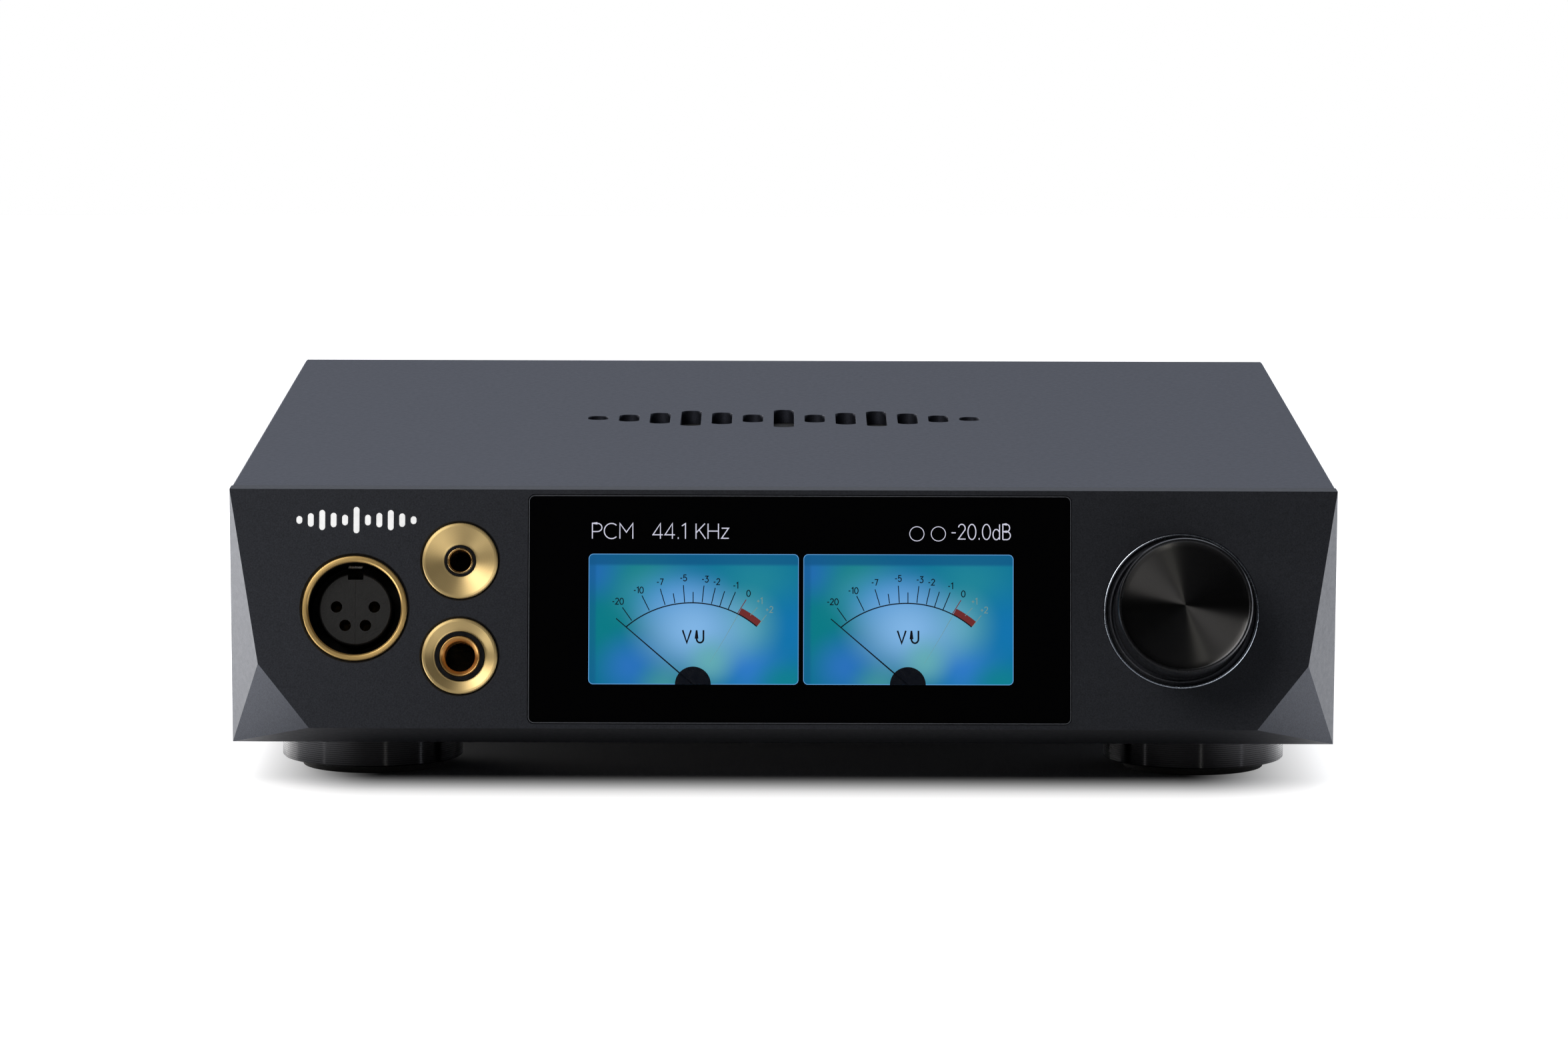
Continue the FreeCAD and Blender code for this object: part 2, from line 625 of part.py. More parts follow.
# ---------------------------------------------------------------------------
# 4-pin balanced headphone socket. z = 0 at the panel face.
# ---------------------------------------------------------------------------
bezel = on_face(turned("xlr_bezel", [
    (d.xlr_mouth, -1.4), (11.0, -1.4), (11.0, 0.25), (10.75, 0.5), (10.1, 0.5),
    (d.xlr_mouth, 0.15)]), -d.xlr_x, d.xlr_s)
keep("xlr_bezel", bezel)
shell = on_face(body("xlr_shell"), -d.xlr_x, d.xlr_s)
revolve(shell, "shell_turned", sketch(shell, "shell_profile", "XZ_Plane", [poly(
    (d.xlr_mouth, -16.0), (11.3, -16.0), (11.3, -3.8), (11.0, -3.6), (11.0, -1.45),
    (d.xlr_mouth, -1.45))]))
keep("xlr_shell", shell)
insert = on_face(body("xlr_insert"), -d.xlr_x, d.xlr_s)
revolve(insert, "insert_turned", sketch(insert, "insert_profile", "XZ_Plane", [poly(
    (0, -20.0), (11.2, -20.0), (11.2, -16.05), (7.6, -16.05), (7.6, -3.4), (7.3, -3.1), (0, -3.1))]))
PINS4 = [(4.0 * math.cos(math.radians(a)), 4.0 * math.sin(math.radians(a)))
         for a in (7, 173, 270 - 32, 270 + 32)]
pocket(insert, "insert_holes", sketch(insert, "insert_hole_rings", "XY_Plane",
    [circle(x, y, 1.2) for x, y in PINS4], -3.0), 2.0)
pocket(insert, "insert_barrels", sketch(insert, "insert_barrel_rings", "XY_Plane",
    [circle(x, y, 1.62) for x, y in PINS4], -4.2), 17)
pocket(insert, "insert_key", sketch(insert, "insert_key_slot", "XY_Plane",
    [rect(-1.6, 6.2, 1.6, 8.4)], -3.0), 13.0)
# moulded in two halves that close round the contacts
parting = on_face(plate("insert_parting", [rect(-0.01, -12.0, 0.01, 12.0)], 19, -21), -d.xlr_x,
                  d.xlr_s)
keep("xlr_insert", cut("xlr_insert_halves", insert, [parting]))
contacts = []
for k, (x, y) in enumerate(PINS4):
    c = on_face(body("xlr_contact_%d" % (k + 1)), -d.xlr_x, d.xlr_s)
    pad(c, "contact_bar_%d" % k, sketch(c, "contact_ring_%d" % k, "XY_Plane",
        [circle(x, y, 1.6)], -23.5), 19.2)
    pocket(c, "contact_bore_%d" % k, sketch(c, "contact_bore_ring_%d" % k, "XY_Plane",
        [circle(x, y, 1.2)], -4.2), 11.5)
    contacts.append(c)
group("xlr_contacts", contacts)
spring = on_face(body("xlr_retention_spring"), -d.xlr_x, d.xlr_s)
pad(spring, "spring_leaf", sketch(spring, "spring_side", "YZ_Plane", [poly(
    (8.9, -15.9), (9.4, -15.9), (9.5, -4.2), (9.0, -2.4), (8.5, -2.4), (8.9, -4.4))]),
    3.0, symmetric=True)
keep("xlr_retention_spring", spring)

# ---------------------------------------------------------------------------
# 4.4 mm and 6.35 mm headphone jacks.
# ---------------------------------------------------------------------------
keep("jack_44_bezel", on_face(turned("jack_44_bezel", [
    (3.32, -1.4), (d.jack_rim, -1.4), (d.jack_rim, 0.25), (d.jack_rim - 0.25, 0.45),
    (d.jack_rim - 0.7, 0.45), (3.9, -0.35), (3.32, -0.35)]), -d.jack_x, d.jack_a_s))
keep("jack_44_sleeve", on_face(turned("jack_44_sleeve", [
    (d.bore_a, -7.0), (2.75, -7.0), (2.75, -0.35), (2.6, -0.2), (d.bore_a + 0.25, -0.2),
    (d.bore_a, -0.45)]), -d.jack_x, d.jack_a_s))
housing = on_face(body("jack_44_housing"), -d.jack_x, d.jack_a_s)
pad(housing, "jack_44_block", sketch(housing, "jack_44_square", "XY_Plane",
    [rect(-6.0, -6.0, 6.0, 6.0)], -32.0), 28.2)
revolve(housing, "jack_44_nose", sketch(housing, "jack_44_nose_profile", "XZ_Plane", [poly(
    (2.77, -5.0), (5.0, -5.0), (5.0, -1.5), (3.3, -1.5), (3.3, -0.2), (2.77, -0.2))]))
groove(housing, "jack_44_bore", sketch(housing, "jack_44_bore_profile", "XZ_Plane", [poly(
    (0, -28.0), (2.6, -28.0), (2.6, -7.05), (2.77, -7.05), (2.77, -3.0), (0, -3.0))]))
pocket(housing, "jack_44_windows", sketch(housing, "jack_44_window_rects", "XY_Plane",
    [rect(-1.4, 2.0, 1.4, 4.6)], -10.0), 16)
keep("jack_44_housing", housing)

keep("jack_635_bezel", on_face(turned("jack_635_bezel", [
    (5.2, -1.4), (d.jack_rim, -1.4), (d.jack_rim, 0.25), (d.jack_rim - 0.25, 0.45),
    (d.jack_rim - 0.7, 0.45), (5.6, -0.3), (5.2, -0.3)]), -d.jack_x, d.jack_b_s))
keep("jack_635_ferrule", on_face(turned("jack_635_ferrule", [
    (d.bore_b, -7.5), (4.32, -7.5), (4.32, -0.4), (4.1, -0.15), (d.bore_b + 0.35, -0.15),
    (d.bore_b, -0.5)]), -d.jack_x, d.jack_b_s))
housing = on_face(body("jack_635_housing"), -d.jack_x, d.jack_b_s)
pad(housing, "jack_635_block", sketch(housing, "jack_635_square", "XY_Plane",
    [rect(-7.2, -7.0, 7.2, 7.0)], -36.0), 32.2)
revolve(housing, "jack_635_nose", sketch(housing, "jack_635_nose_profile", "XZ_Plane", [poly(
    (4.35, -5.0), (6.2, -5.0), (6.2, -1.5), (5.15, -1.5), (5.15, 0.05), (4.35, 0.05))]))
groove(housing, "jack_635_bore", sketch(housing, "jack_635_bore_profile", "XZ_Plane", [poly(
    (0, -34.0), (3.4, -34.0), (3.4, -7.55), (4.35, -7.55), (4.35, -3.0), (0, -3.0))]))
pocket(housing, "jack_635_windows", sketch(housing, "jack_635_window_rects", "XY_Plane",
    [rect(-1.6, 3.0, 1.6, 6.0)], -12.0), 18)
keep("jack_635_housing", housing)

springs = []
for tag, s, r, top, z0, z1 in (("a", d.jack_a_s, 2.5, 4.3, -25.5, -10.5),
                               ("b", d.jack_b_s, 3.55, 5.7, -29.5, -12.5)):
    c = on_face(body("jack_spring_" + tag), -d.jack_x, s)
    pad(c, "jack_leaf_" + tag, sketch(c, "jack_leaf_side_" + tag, "YZ_Plane", [poly(
        (top - 0.4, z0), (top, z0), (top, z1), (top - 0.4, z1), (r, (z0 + z1) / 2 + 1),
        (r, (z0 + z1) / 2 - 1))]), 2.2, symmetric=True)
    springs.append(c)
group("jack_contacts", springs)

amp_board = on_face(plate("headphone_board", [
    rect(-103.0, -41.5, -58.0, -6.0)], 1.6, -38.0))
pocket(amp_board, "headphone_board_room", sketch(amp_board, "headphone_board_cut", "XY_Plane",
    [circle(-d.xlr_x, -d.xlr_s, 6.0)], -38.0), 2, backwards=True)
keep("headphone_board", amp_board)

# ---------------------------------------------------------------------------
# Light guide: white bars that come flush with the face, on one back plate.
# ---------------------------------------------------------------------------
guide = on_face(body("status_light_guide"))
pad(guide, "guide_back", sketch(guide, "guide_back_rect", "XY_Plane", [
    rect(-103.0, -10.0, -75.8, -3.6)], -4.8), 1.25)
pad(guide, "guide_bars", sketch(guide, "guide_bar_outlines", "XY_Plane", [
    stadium(-89.35 + 2.39 * (i - 5), -6.5, 1.2, length)
    for i, length in enumerate(GUIDE)], -3.6), 3.55)
keep("status_light_guide", guide)

# ---------------------------------------------------------------------------
# Circuit boards on standoffs.
# ---------------------------------------------------------------------------
bz, bt = d.board_z, d.board_z + d.board_t
MAIN = [(-95, 54), (36, 54), (-95, 246), (33, 246), (-30, 150), (36, 150)]
SUPPLY = [(56, 64), (96, 64), (56, 224), (98, 210)]


def board(node, x0, x1, y0, y1, holes):
    b = place(body(node), 0, 0, bz)
    pad(b, node + "_sheet", sketch(b, node + "_outline", "XY_Plane",
        [rect(x0, y0, x1, y1)] + [circle(x, y, 1.6) for x, y in holes]), d.board_t)
    return keep(node, b)


board("main_board", -101, 42, 48, 253, MAIN)
board("psu_board", 51, 102, 58, 232, SUPPLY)
group("standoffs", [cut("standoff_%d" % k, cyl("standoff_post_%d" % k, x, y, d.case_bottom + d.plate_t, bz, 3.0),
                        [cyl("standoff_tap_%d" % k, x, y, 10, bz + 1, 1.5)])
                    for k, (x, y) in enumerate(MAIN + SUPPLY)])

# M3 screws: boards, rails and rear panel use the same one
screws = []
for k, (x, y) in enumerate(MAIN + SUPPLY):
    screws.append(fuse("board_screw_%d" % k, [
        cyl("board_screw_head_%d" % k, x, y, bt, bt + 1.9, 2.8),
        cyl("board_screw_bar_%d" % k, x, y, d.case_bottom + d.plate_t + 0.5, bt + 0.5, 1.45)]))
for k, (sx, y) in enumerate([(sx, y) for sx in (-1, 1) for y in RAIL_Y]):
    screws.append(fuse("rail_screw_%d" % k, [
        cyl("rail_screw_head_%d" % k, sx * 108.4, y, d.case_bottom + 0.1, d.case_bottom + 1.3, 2.8),
        cyl("rail_screw_bar_%d" % k, sx * 108.4, y, d.case_bottom + 1.0, d.case_bottom + 8.0, 1.45)]))
for k, (x, z) in enumerate(REAR_SCREWS):
    s = on_rear(body("rear_screw_%d" % k), x, z)
    if z < 30:
        profile = [(0, -2.95), (1.45, -2.95), (1.45, 0), (2.8, 0), (2.8, 1.6), (2.3, 1.9), (0, 1.9)]
    else:
        profile = [(0, -8), (1.45, -8), (1.45, 0), (2.8, 0), (2.8, 1.6), (2.3, 1.9), (0, 1.9)]
    revolve(s, "rear_screw_turned_%d" % k, sketch(s, "rear_screw_profile_%d" % k, "XZ_Plane",
                                                  [poly(*profile)]))
    pocket(s, "rear_screw_socket_%d" % k, sketch(s, "rear_screw_hex_%d" % k, "XY_Plane", [poly(
        *[(1.15 * math.cos(math.radians(60 * j)), 1.15 * math.sin(math.radians(60 * j)))
          for j in range(6)])], 1.9), 1.3)
    screws.append(s)
group("machine_screws", screws)

group("board_chips", [
    box("dac_chip_a", -46, -36, 115, 125, bt, bt + 1.2),
    box("dac_chip_b", -16, -6, 115, 125, bt, bt + 1.2),
    box("processor", 4, 20, 84, 100, bt, bt + 1.6),
    box("clock_can_a", -30, -22, 92, 102, bt, bt + 4.5),
    box("clock_can_b", -16, -8, 92, 102, bt, bt + 4.5),
    box("receiver_chip", -2, 8, 196, 206, bt, bt + 1.4)])

caps = []
for k, (x, y, r, tall) in enumerate(
        [(62, 162, 8, 27), (81, 162, 8, 27), (62, 182, 8, 27), (81, 182, 8, 27)] +
        [(x, y, 5, 13) for x in (-60, -46, -32, -18) for y in (160, 176)] +
        [(22, 116, 6.3, 16), (22, 132, 6.3, 16)]):
    caps.append(cyl("capacitor_%d" % k, x, y, bt, bt + tall, r))
group("capacitors", caps)

group("output_relays", [box("relay_%d" % k, x, x + 20, y, y + 10, bt, bt + 11)
                        for k, (x, y) in enumerate([(-84, 58), (-58, 58), (-78, 210), (-52, 210)])])

# finned heat sink with its four output transistors
sink = place(body("amp_heat_sink"), -84, 76, bt)
teeth = [(0, 0)]
for k in range(9):
    y0 = 2.0 + k * 7.9
    teeth += [(0, y0), (-9, y0), (-9, y0 + 1.8), (0, y0 + 1.8)]
teeth += [(0, 68), (3, 68), (3, 0)]
pad(sink, "sink_comb", sketch(sink, "sink_section", "XY_Plane", [poly(*teeth)]), 26)
keep("amp_heat_sink", sink)
group("amp_transistors", [box("transistor_%d" % k, -80.9, -76.4, 82 + 16 * k, 92 + 16 * k, bt + 4, bt + 20)
                          for k in range(4)])

# screen between the supply and the audio side
shield = place(body("psu_shield"), 46, 0, d.case_bottom + d.plate_t)
pad(shield, "shield_wall", sketch(shield, "shield_outline", "YZ_Plane", [
    rect(58, 0, 236, 44)]), 1.0)
pad(shield, "shield_foot", sketch(shield, "shield_foot_outline", "XY_Plane", [
    rect(-3.0, 58, 0.5, 236)]), 1.0)
keep("psu_shield", shield)

core = cut("core_cut", box("core_block", 57, 97, 86, 132, bt, bt + 32),
           [box("core_window_a", 63, 71, 80, 140, bt + 7, bt + 25),
            box("core_window_b", 83, 91, 80, 140, bt + 7, bt + 25)])
keep("transformer_core", core)
winding = cut("winding_cut", box("winding_block", 63.4, 90.6, 78, 140, bt + 7.3, bt + 24.7),
              [box("winding_hole", 70.6, 83.4, 85.6, 132.4, bt, bt + 32)])
keep("transformer_winding", winding)

# ---------------------------------------------------------------------------
# Rear connectors. On these bodies z points backwards and y points down.
# ---------------------------------------------------------------------------
inlet = on_rear(body("iec_inlet"), d.inlet_x, 0)
pad(inlet, "inlet_flange", sketch(inlet, "inlet_flange_outline", "XY_Plane", [
    rrect(-20.0, -56.0, 20.0, -15.0, 2.5)]), 1.8)
pad(inlet, "inlet_block", sketch(inlet, "inlet_block_outline", "XY_Plane", [
    rect(-14, -53.5, 14, -17)], -24), 24.5)
pocket(inlet, "inlet_cavity", sketch(inlet, "inlet_cavity_outline", "XY_Plane", [poly(
    (-12.4, -50.2), (12.4, -50.2), (12.4, -38.6), (7.6, -33.8), (-7.6, -33.8), (-12.4, -38.6))],
    2), 19)
pocket(inlet, "inlet_drawer_slot", sketch(inlet, "inlet_drawer_outline", "XY_Plane", [
    rect(-11.5, -28.0, 11.5, -19.5)], 2), 23)
pocket(inlet, "inlet_pin_holes", sketch(inlet, "inlet_pin_rects", "XY_Plane", [
    rect(-8.0, -43.6, -6.0, -39.6), rect(6.0, -43.6, 8.0, -39.6), rect(-1.0, -47.6, 1.0, -43.6)],
    -15), 10)
keep("iec_inlet", inlet)
pins = []
for k, (x, z) in enumerate([(-7, 41.6), (7, 41.6), (0, 45.6)]):
    p = on_rear(body("inlet_pin_%d" % k), d.inlet_x, 0)
    pad(p, "inlet_blade_%d" % k, sketch(p, "inlet_blade_outline_%d" % k, "XY_Plane", [
        rect(x - 0.98, -z - 1.98, x + 0.98, -z + 1.98)], -30), 29)
    pins.append(p)
group("iec_pins", pins)

drawer = on_rear(body("fuse_drawer"), d.inlet_x, 0)
pad(drawer, "drawer_block", sketch(drawer, "drawer_outline", "XY_Plane", [
    rect(-11.2, -27.7, 11.2, -19.8)], -20.6), 22.8)
pocket(drawer, "drawer_tray", sketch(drawer, "drawer_tray_outline", "XY_Plane", [
    rect(-2.9, -27.8, 2.9, -21.9)], -1.0), 19.0)
pocket(drawer, "drawer_grip", sketch(drawer, "drawer_grip_outline", "XY_Plane", [
    rect(-5.0, -21.6, 5.0, -19.7)], 2.3), 1.6)
keep("fuse_drawer", drawer)
fuse_body = on_rear(body("fuse"), d.inlet_x, 24.6)
revolve(fuse_body, "fuse_turned", sketch(fuse_body, "fuse_profile", "XZ_Plane", [poly(
    (0, -19.8), (2.55, -19.8), (2.55, -15.0), (2.35, -15.0), (2.35, -6.0), (2.55, -6.0),
    (2.55, -1.2), (0, -1.2))]))
keep("fuse", fuse_body)

# rocker switch: it pivots about x, inside its housing
sw = on_rear(body("switch_housing"), d.switch_x, 0)
pad(sw, "switch_flange", sketch(sw, "switch_flange_outline", "XY_Plane", [
    rrect(-10.0, -50.5, 10.0, -21.5, 1.5)]), 1.8)
pad(sw, "switch_block", sketch(sw, "switch_block_outline", "XY_Plane", [
    rect(-8, -48.5, 8, -23.5)], -16), 16.5)
pocket(sw, "switch_room", sketch(sw, "switch_room_outline", "XY_Plane", [
    rect(-6.4, -46.6, 6.4, -25.4)], 2), 13)
keep("switch_housing", sw)
rocker = on_rear(body("power_rocker"), d.switch_x, d.out_z, d.rear_in + 1.0)
tilt = math.radians(9)


def tip(y, z):
    return (y * math.cos(tilt) - z * math.sin(tilt), y * math.sin(tilt) + z * math.cos(tilt))


pad(rocker, "rocker_body", sketch(rocker, "rocker_side", "YZ_Plane", [poly(
    tip(-9.6, 1.0), tip(-9.6, 3.6), tip(0, 2.6), tip(9.6, 3.6), tip(9.6, 1.0), tip(3.0, -5.0),
    tip(-3.0, -5.0))]), 12.2, symmetric=True)
keep("power_rocker", rocker)

# two balanced outputs with three pins each
shells, inserts, out_pins = [], [], []
for k, x in enumerate(XLR_OUT):
    s = on_rear(body("out_shell_%d" % k), x, d.out_z)
    pad(s, "out_flange_%d" % k, sketch(s, "out_flange_outline_%d" % k, "XY_Plane", [
        rrect(-13.0, -15.5, 13.0, 15.5, 2.0)]), 1.8)
    pad(s, "out_barrel_%d" % k, sketch(s, "out_barrel_ring_%d" % k, "XY_Plane", [
        circle(0, 0, 11.9)], -20), 20.5)
    pocket(s, "out_mouth_%d" % k, sketch(s, "out_mouth_ring_%d" % k, "XY_Plane", [
        circle(0, 0, 9.7)], 2), 24)
    pocket(s, "out_holes_%d" % k, sketch(s, "out_hole_rings_%d" % k, "XY_Plane", [
        circle(-9.5, -12.0, 1.6), circle(9.5, 12.0, 1.6)], 2), 4)
    shells.append(s)
    i = on_rear(body("out_insert_%d" % k), x, d.out_z)
    pad(i, "out_disc_%d" % k, sketch(i, "out_disc_ring_%d" % k, "XY_Plane", [
        circle(0, 0, 9.66)], -20), 6)
    pocket(i, "out_disc_holes_%d" % k, sketch(i, "out_disc_hole_rings_%d" % k, "XY_Plane", [
        circle(-3.8, 1.2, 1.24), circle(3.8, 1.2, 1.24), circle(0, -3.2, 1.24)], -13), 8)
    inserts.append(i)
    for j, (px, py) in enumerate([(-3.8, 1.2), (3.8, 1.2), (0, -3.2)]):
        p = on_rear(body("out_pin_%d_%d" % (k, j)), x, d.out_z)
        pad(p, "out_pin_bar_%d_%d" % (k, j), sketch(p, "out_pin_ring_%d_%d" % (k, j), "XY_Plane", [
            circle(px, py, 1.2)], -24), 22.5)
        out_pins.append(p)
group("xlr_out_shells", shells)
group("xlr_out_inserts", inserts)
group("xlr_out_pins", out_pins)

jacks = []
for k, (x, z) in enumerate(RCA):
    j = on_rear(body("rca_%d" % k), x, z)
    revolve(j, "rca_turned_%d" % k, sketch(j, "rca_profile_%d" % k, "XZ_Plane", [poly(
        (1.6, -6.0), (4.4, -6.0), (4.4, 0.05), (6.2, 0.05), (6.2, 1.4), (5.8, 1.8), (4.15, 1.8),
        (4.15, 9.2), (3.85, 9.5), (1.9, 9.5), (1.6, 9.2))]))
    pad(j, "rca_back_%d" % k, sketch(j, "rca_back_ring_%d" % k, "XY_Plane", [
        circle(0, 0, 4.4)], -14), 8.2)
    jacks.append(j)
group("rca_jacks", jacks)

usb = on_rear(body("usb_port"), 6, 27.2)
pad(usb, "usb_block", sketch(usb, "usb_outline", "XY_Plane", [
    rect(-6.0, -5.6, 6.0, 5.6)], -16), 17.0)
pocket(usb, "usb_mouth", sketch(usb, "usb_mouth_outline", "XY_Plane", [
    poly((-4.2, 3.9), (-4.2, -2.2), (-2.5, -3.9), (2.5, -3.9), (4.2, -2.2), (4.2, 3.9)),
    rect(-2.8, -1.6, 2.8, 1.6)], 2), 12)
keep("usb_port", usb)

opt = on_rear(body("optical_port"), -13, 45)
pad(opt, "optical_block", sketch(opt, "optical_outline", "XY_Plane", [
    rect(-5.0, -5.0, 5.0, 5.0)], -13), 14.0)
pocket(opt, "optical_mouth", sketch(opt, "optical_mouth_outline", "XY_Plane", [
    rect(-3.6, -3.6, 3.6, 3.6)], 2), 12)
keep("optical_port", opt)
flap = on_rear(body("optical_shutter"), -13, 45)
pad(flap, "shutter_leaf", sketch(flap, "shutter_outline", "XY_Plane", [
    rect(-3.3, -3.2, 3.3, 3.3)], -0.2), 0.7)
keep("optical_shutter", flap)

# ---------------------------------------------------------------------------
# Feet: turned, with fine rings, a rubber pad and a screw each.
# ---------------------------------------------------------------------------
feet, pads, foot_screws = [], [], []
rim = []
steps = 6
for k in range(steps):
    z0 = 0.35 + k * (6.5 / steps)
    rim += [(d.foot_rad, z0), (d.foot_rad, z0 + 0.55), (d.foot_rad - 0.45, z0 + 0.81)]
for k, (x, y) in enumerate(FEET):
    f = place(body("foot_%d" % k), x, y, d.pad_t)
    top = d.case_bottom - d.pad_t
    revolve(f, "foot_turned_%d" % k, sketch(f, "foot_profile_%d" % k, "XZ_Plane", [poly(
        (2.2, 3.6), (4.6, 3.6), (4.6, 0), (d.foot_rad - 0.35, 0), *rim,
        (d.foot_rad - 0.2, top), (2.2, top))]))
    feet.append(f)
    p = place(turned("pad_%d" % k, [(5.5, 0), (d.pad_rad, 0), (d.pad_rad, d.pad_t), (5.5, d.pad_t)]),
              x, y, 0)
    pads.append(p)
    s = place(turned("foot_screw_%d" % k, [
        (0, 3.4), (3.6, 3.4), (4.0, 3.8), (4.0, 5.45), (2.0, 5.45), (2.0, 11.7), (4.2, 11.7),
        (4.2, 14.6), (0, 14.6)]), x, y, 0)
    foot_screws.append(s)
group("feet", feet)
group("foot_pads", pads)
group("foot_screws", foot_screws)

# ---------------------------------------------------------------------------
# Check everything, then write one STEP file per node.
# ---------------------------------------------------------------------------
doc.recompute()
bad = [(o.Name, o.State) for o in doc.Objects if "Invalid" in o.State or "Error" in o.State]
if bad:
    raise RuntimeError("failed objects: %s" % bad)
os.makedirs("parts", exist_ok=True)
for name in os.listdir("parts"):
    if name.endswith(".step") and name[:-5] not in NODES:
        os.remove(os.path.join("parts", name))
lo, hi = [1e9] * 3, [-1e9] * 3
for node, obj in sorted(NODES.items()):
    shape = obj.Shape
    if shape.isNull() or not shape.isValid() or not shape.Solids:
        raise RuntimeError("bad shape: " + node)
    bb = shape.BoundBox
    for axis, (a, b) in enumerate(((bb.XMin, bb.XMax), (bb.YMin, bb.YMax), (bb.ZMin, bb.ZMax))):
        lo[axis], hi[axis] = min(lo[axis], a), max(hi[axis], b)
    shape.exportStep("parts/%s.step" % node)
print("nodes", len(NODES), "box", [round(v, 3) for v in lo], [round(v, 3) for v in hi])
print("middle", [round((a + b) / 2, 3) for a, b in zip(lo, hi)])
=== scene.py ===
import json
import math
import bmesh
import bpy
from mathutils import Matrix, Vector


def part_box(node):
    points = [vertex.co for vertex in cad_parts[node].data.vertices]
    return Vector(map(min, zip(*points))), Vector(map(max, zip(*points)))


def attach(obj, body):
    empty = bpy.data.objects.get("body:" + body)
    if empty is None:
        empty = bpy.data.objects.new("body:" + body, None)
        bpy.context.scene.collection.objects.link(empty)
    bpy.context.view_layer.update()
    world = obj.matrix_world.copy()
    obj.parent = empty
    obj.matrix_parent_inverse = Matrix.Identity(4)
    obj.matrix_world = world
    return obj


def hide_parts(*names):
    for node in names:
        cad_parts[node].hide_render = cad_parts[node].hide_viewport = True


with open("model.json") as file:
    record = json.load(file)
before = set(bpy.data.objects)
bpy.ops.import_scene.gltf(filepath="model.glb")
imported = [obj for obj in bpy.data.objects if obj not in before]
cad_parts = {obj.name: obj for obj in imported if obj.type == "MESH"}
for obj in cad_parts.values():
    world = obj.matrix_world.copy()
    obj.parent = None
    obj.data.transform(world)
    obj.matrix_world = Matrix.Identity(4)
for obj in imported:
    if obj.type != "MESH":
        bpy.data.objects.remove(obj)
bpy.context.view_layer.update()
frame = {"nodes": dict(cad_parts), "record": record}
NODES, RECORD = frame["nodes"], frame["record"]
BODY_OF = {n: b for b, members in RECORD["behaviour"]["bodies"].items() for n in members}
MM = 0.001

# ---------------------------------------------------------------------------
# Where things are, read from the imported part
# ---------------------------------------------------------------------------
MOUNTS = {m["name"]: m for m in RECORD["mounts"]}
OUT = Vector(MOUNTS["jack_44"]["axis"]).normalized()          # out of the leaning face
UP = Vector((0, -OUT.z, OUT.y)) * -1
if UP.z < 0:
    UP = -UP
RIGHT = Vector((1, 0, 0))
EDGE_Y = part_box("top_cover")[0].y - 6.12 * MM                 # the top front edge
TOP_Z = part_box("top_cover")[1].z
REAR_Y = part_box("rear_panel")[1].y


def on_face(x=0.0, s=0.0):
    """Frame on the leaning face: x across, y up the slope, z out. s is down the slope, mm."""
    m = Matrix((RIGHT, UP, OUT)).transposed().to_4x4()
    m.translation = Vector((x * MM, EDGE_Y, TOP_Z)) - UP * (s * MM)
    return m


def on_rear(x=0.0, z=0.0):
    """Frame on the rear panel: z backwards, y down."""
    m = Matrix((Vector((1, 0, 0)), Vector((0, 0, -1)), Vector((0, 1, 0)))).transposed().to_4x4()
    m.translation = Vector((x * MM, REAR_Y, z * MM))
    return m


def upright(x, y, z=0.0):
    return Matrix.Translation(Vector((x, y, z)))


# ---------------------------------------------------------------------------
# Materials
# ---------------------------------------------------------------------------
def srgb(r, g, b):
    def f(c):
        c /= 255.0
        return c / 12.92 if c <= 0.04045 else ((c + 0.055) / 1.055) ** 2.4
    return (f(r), f(g), f(b), 1.0)


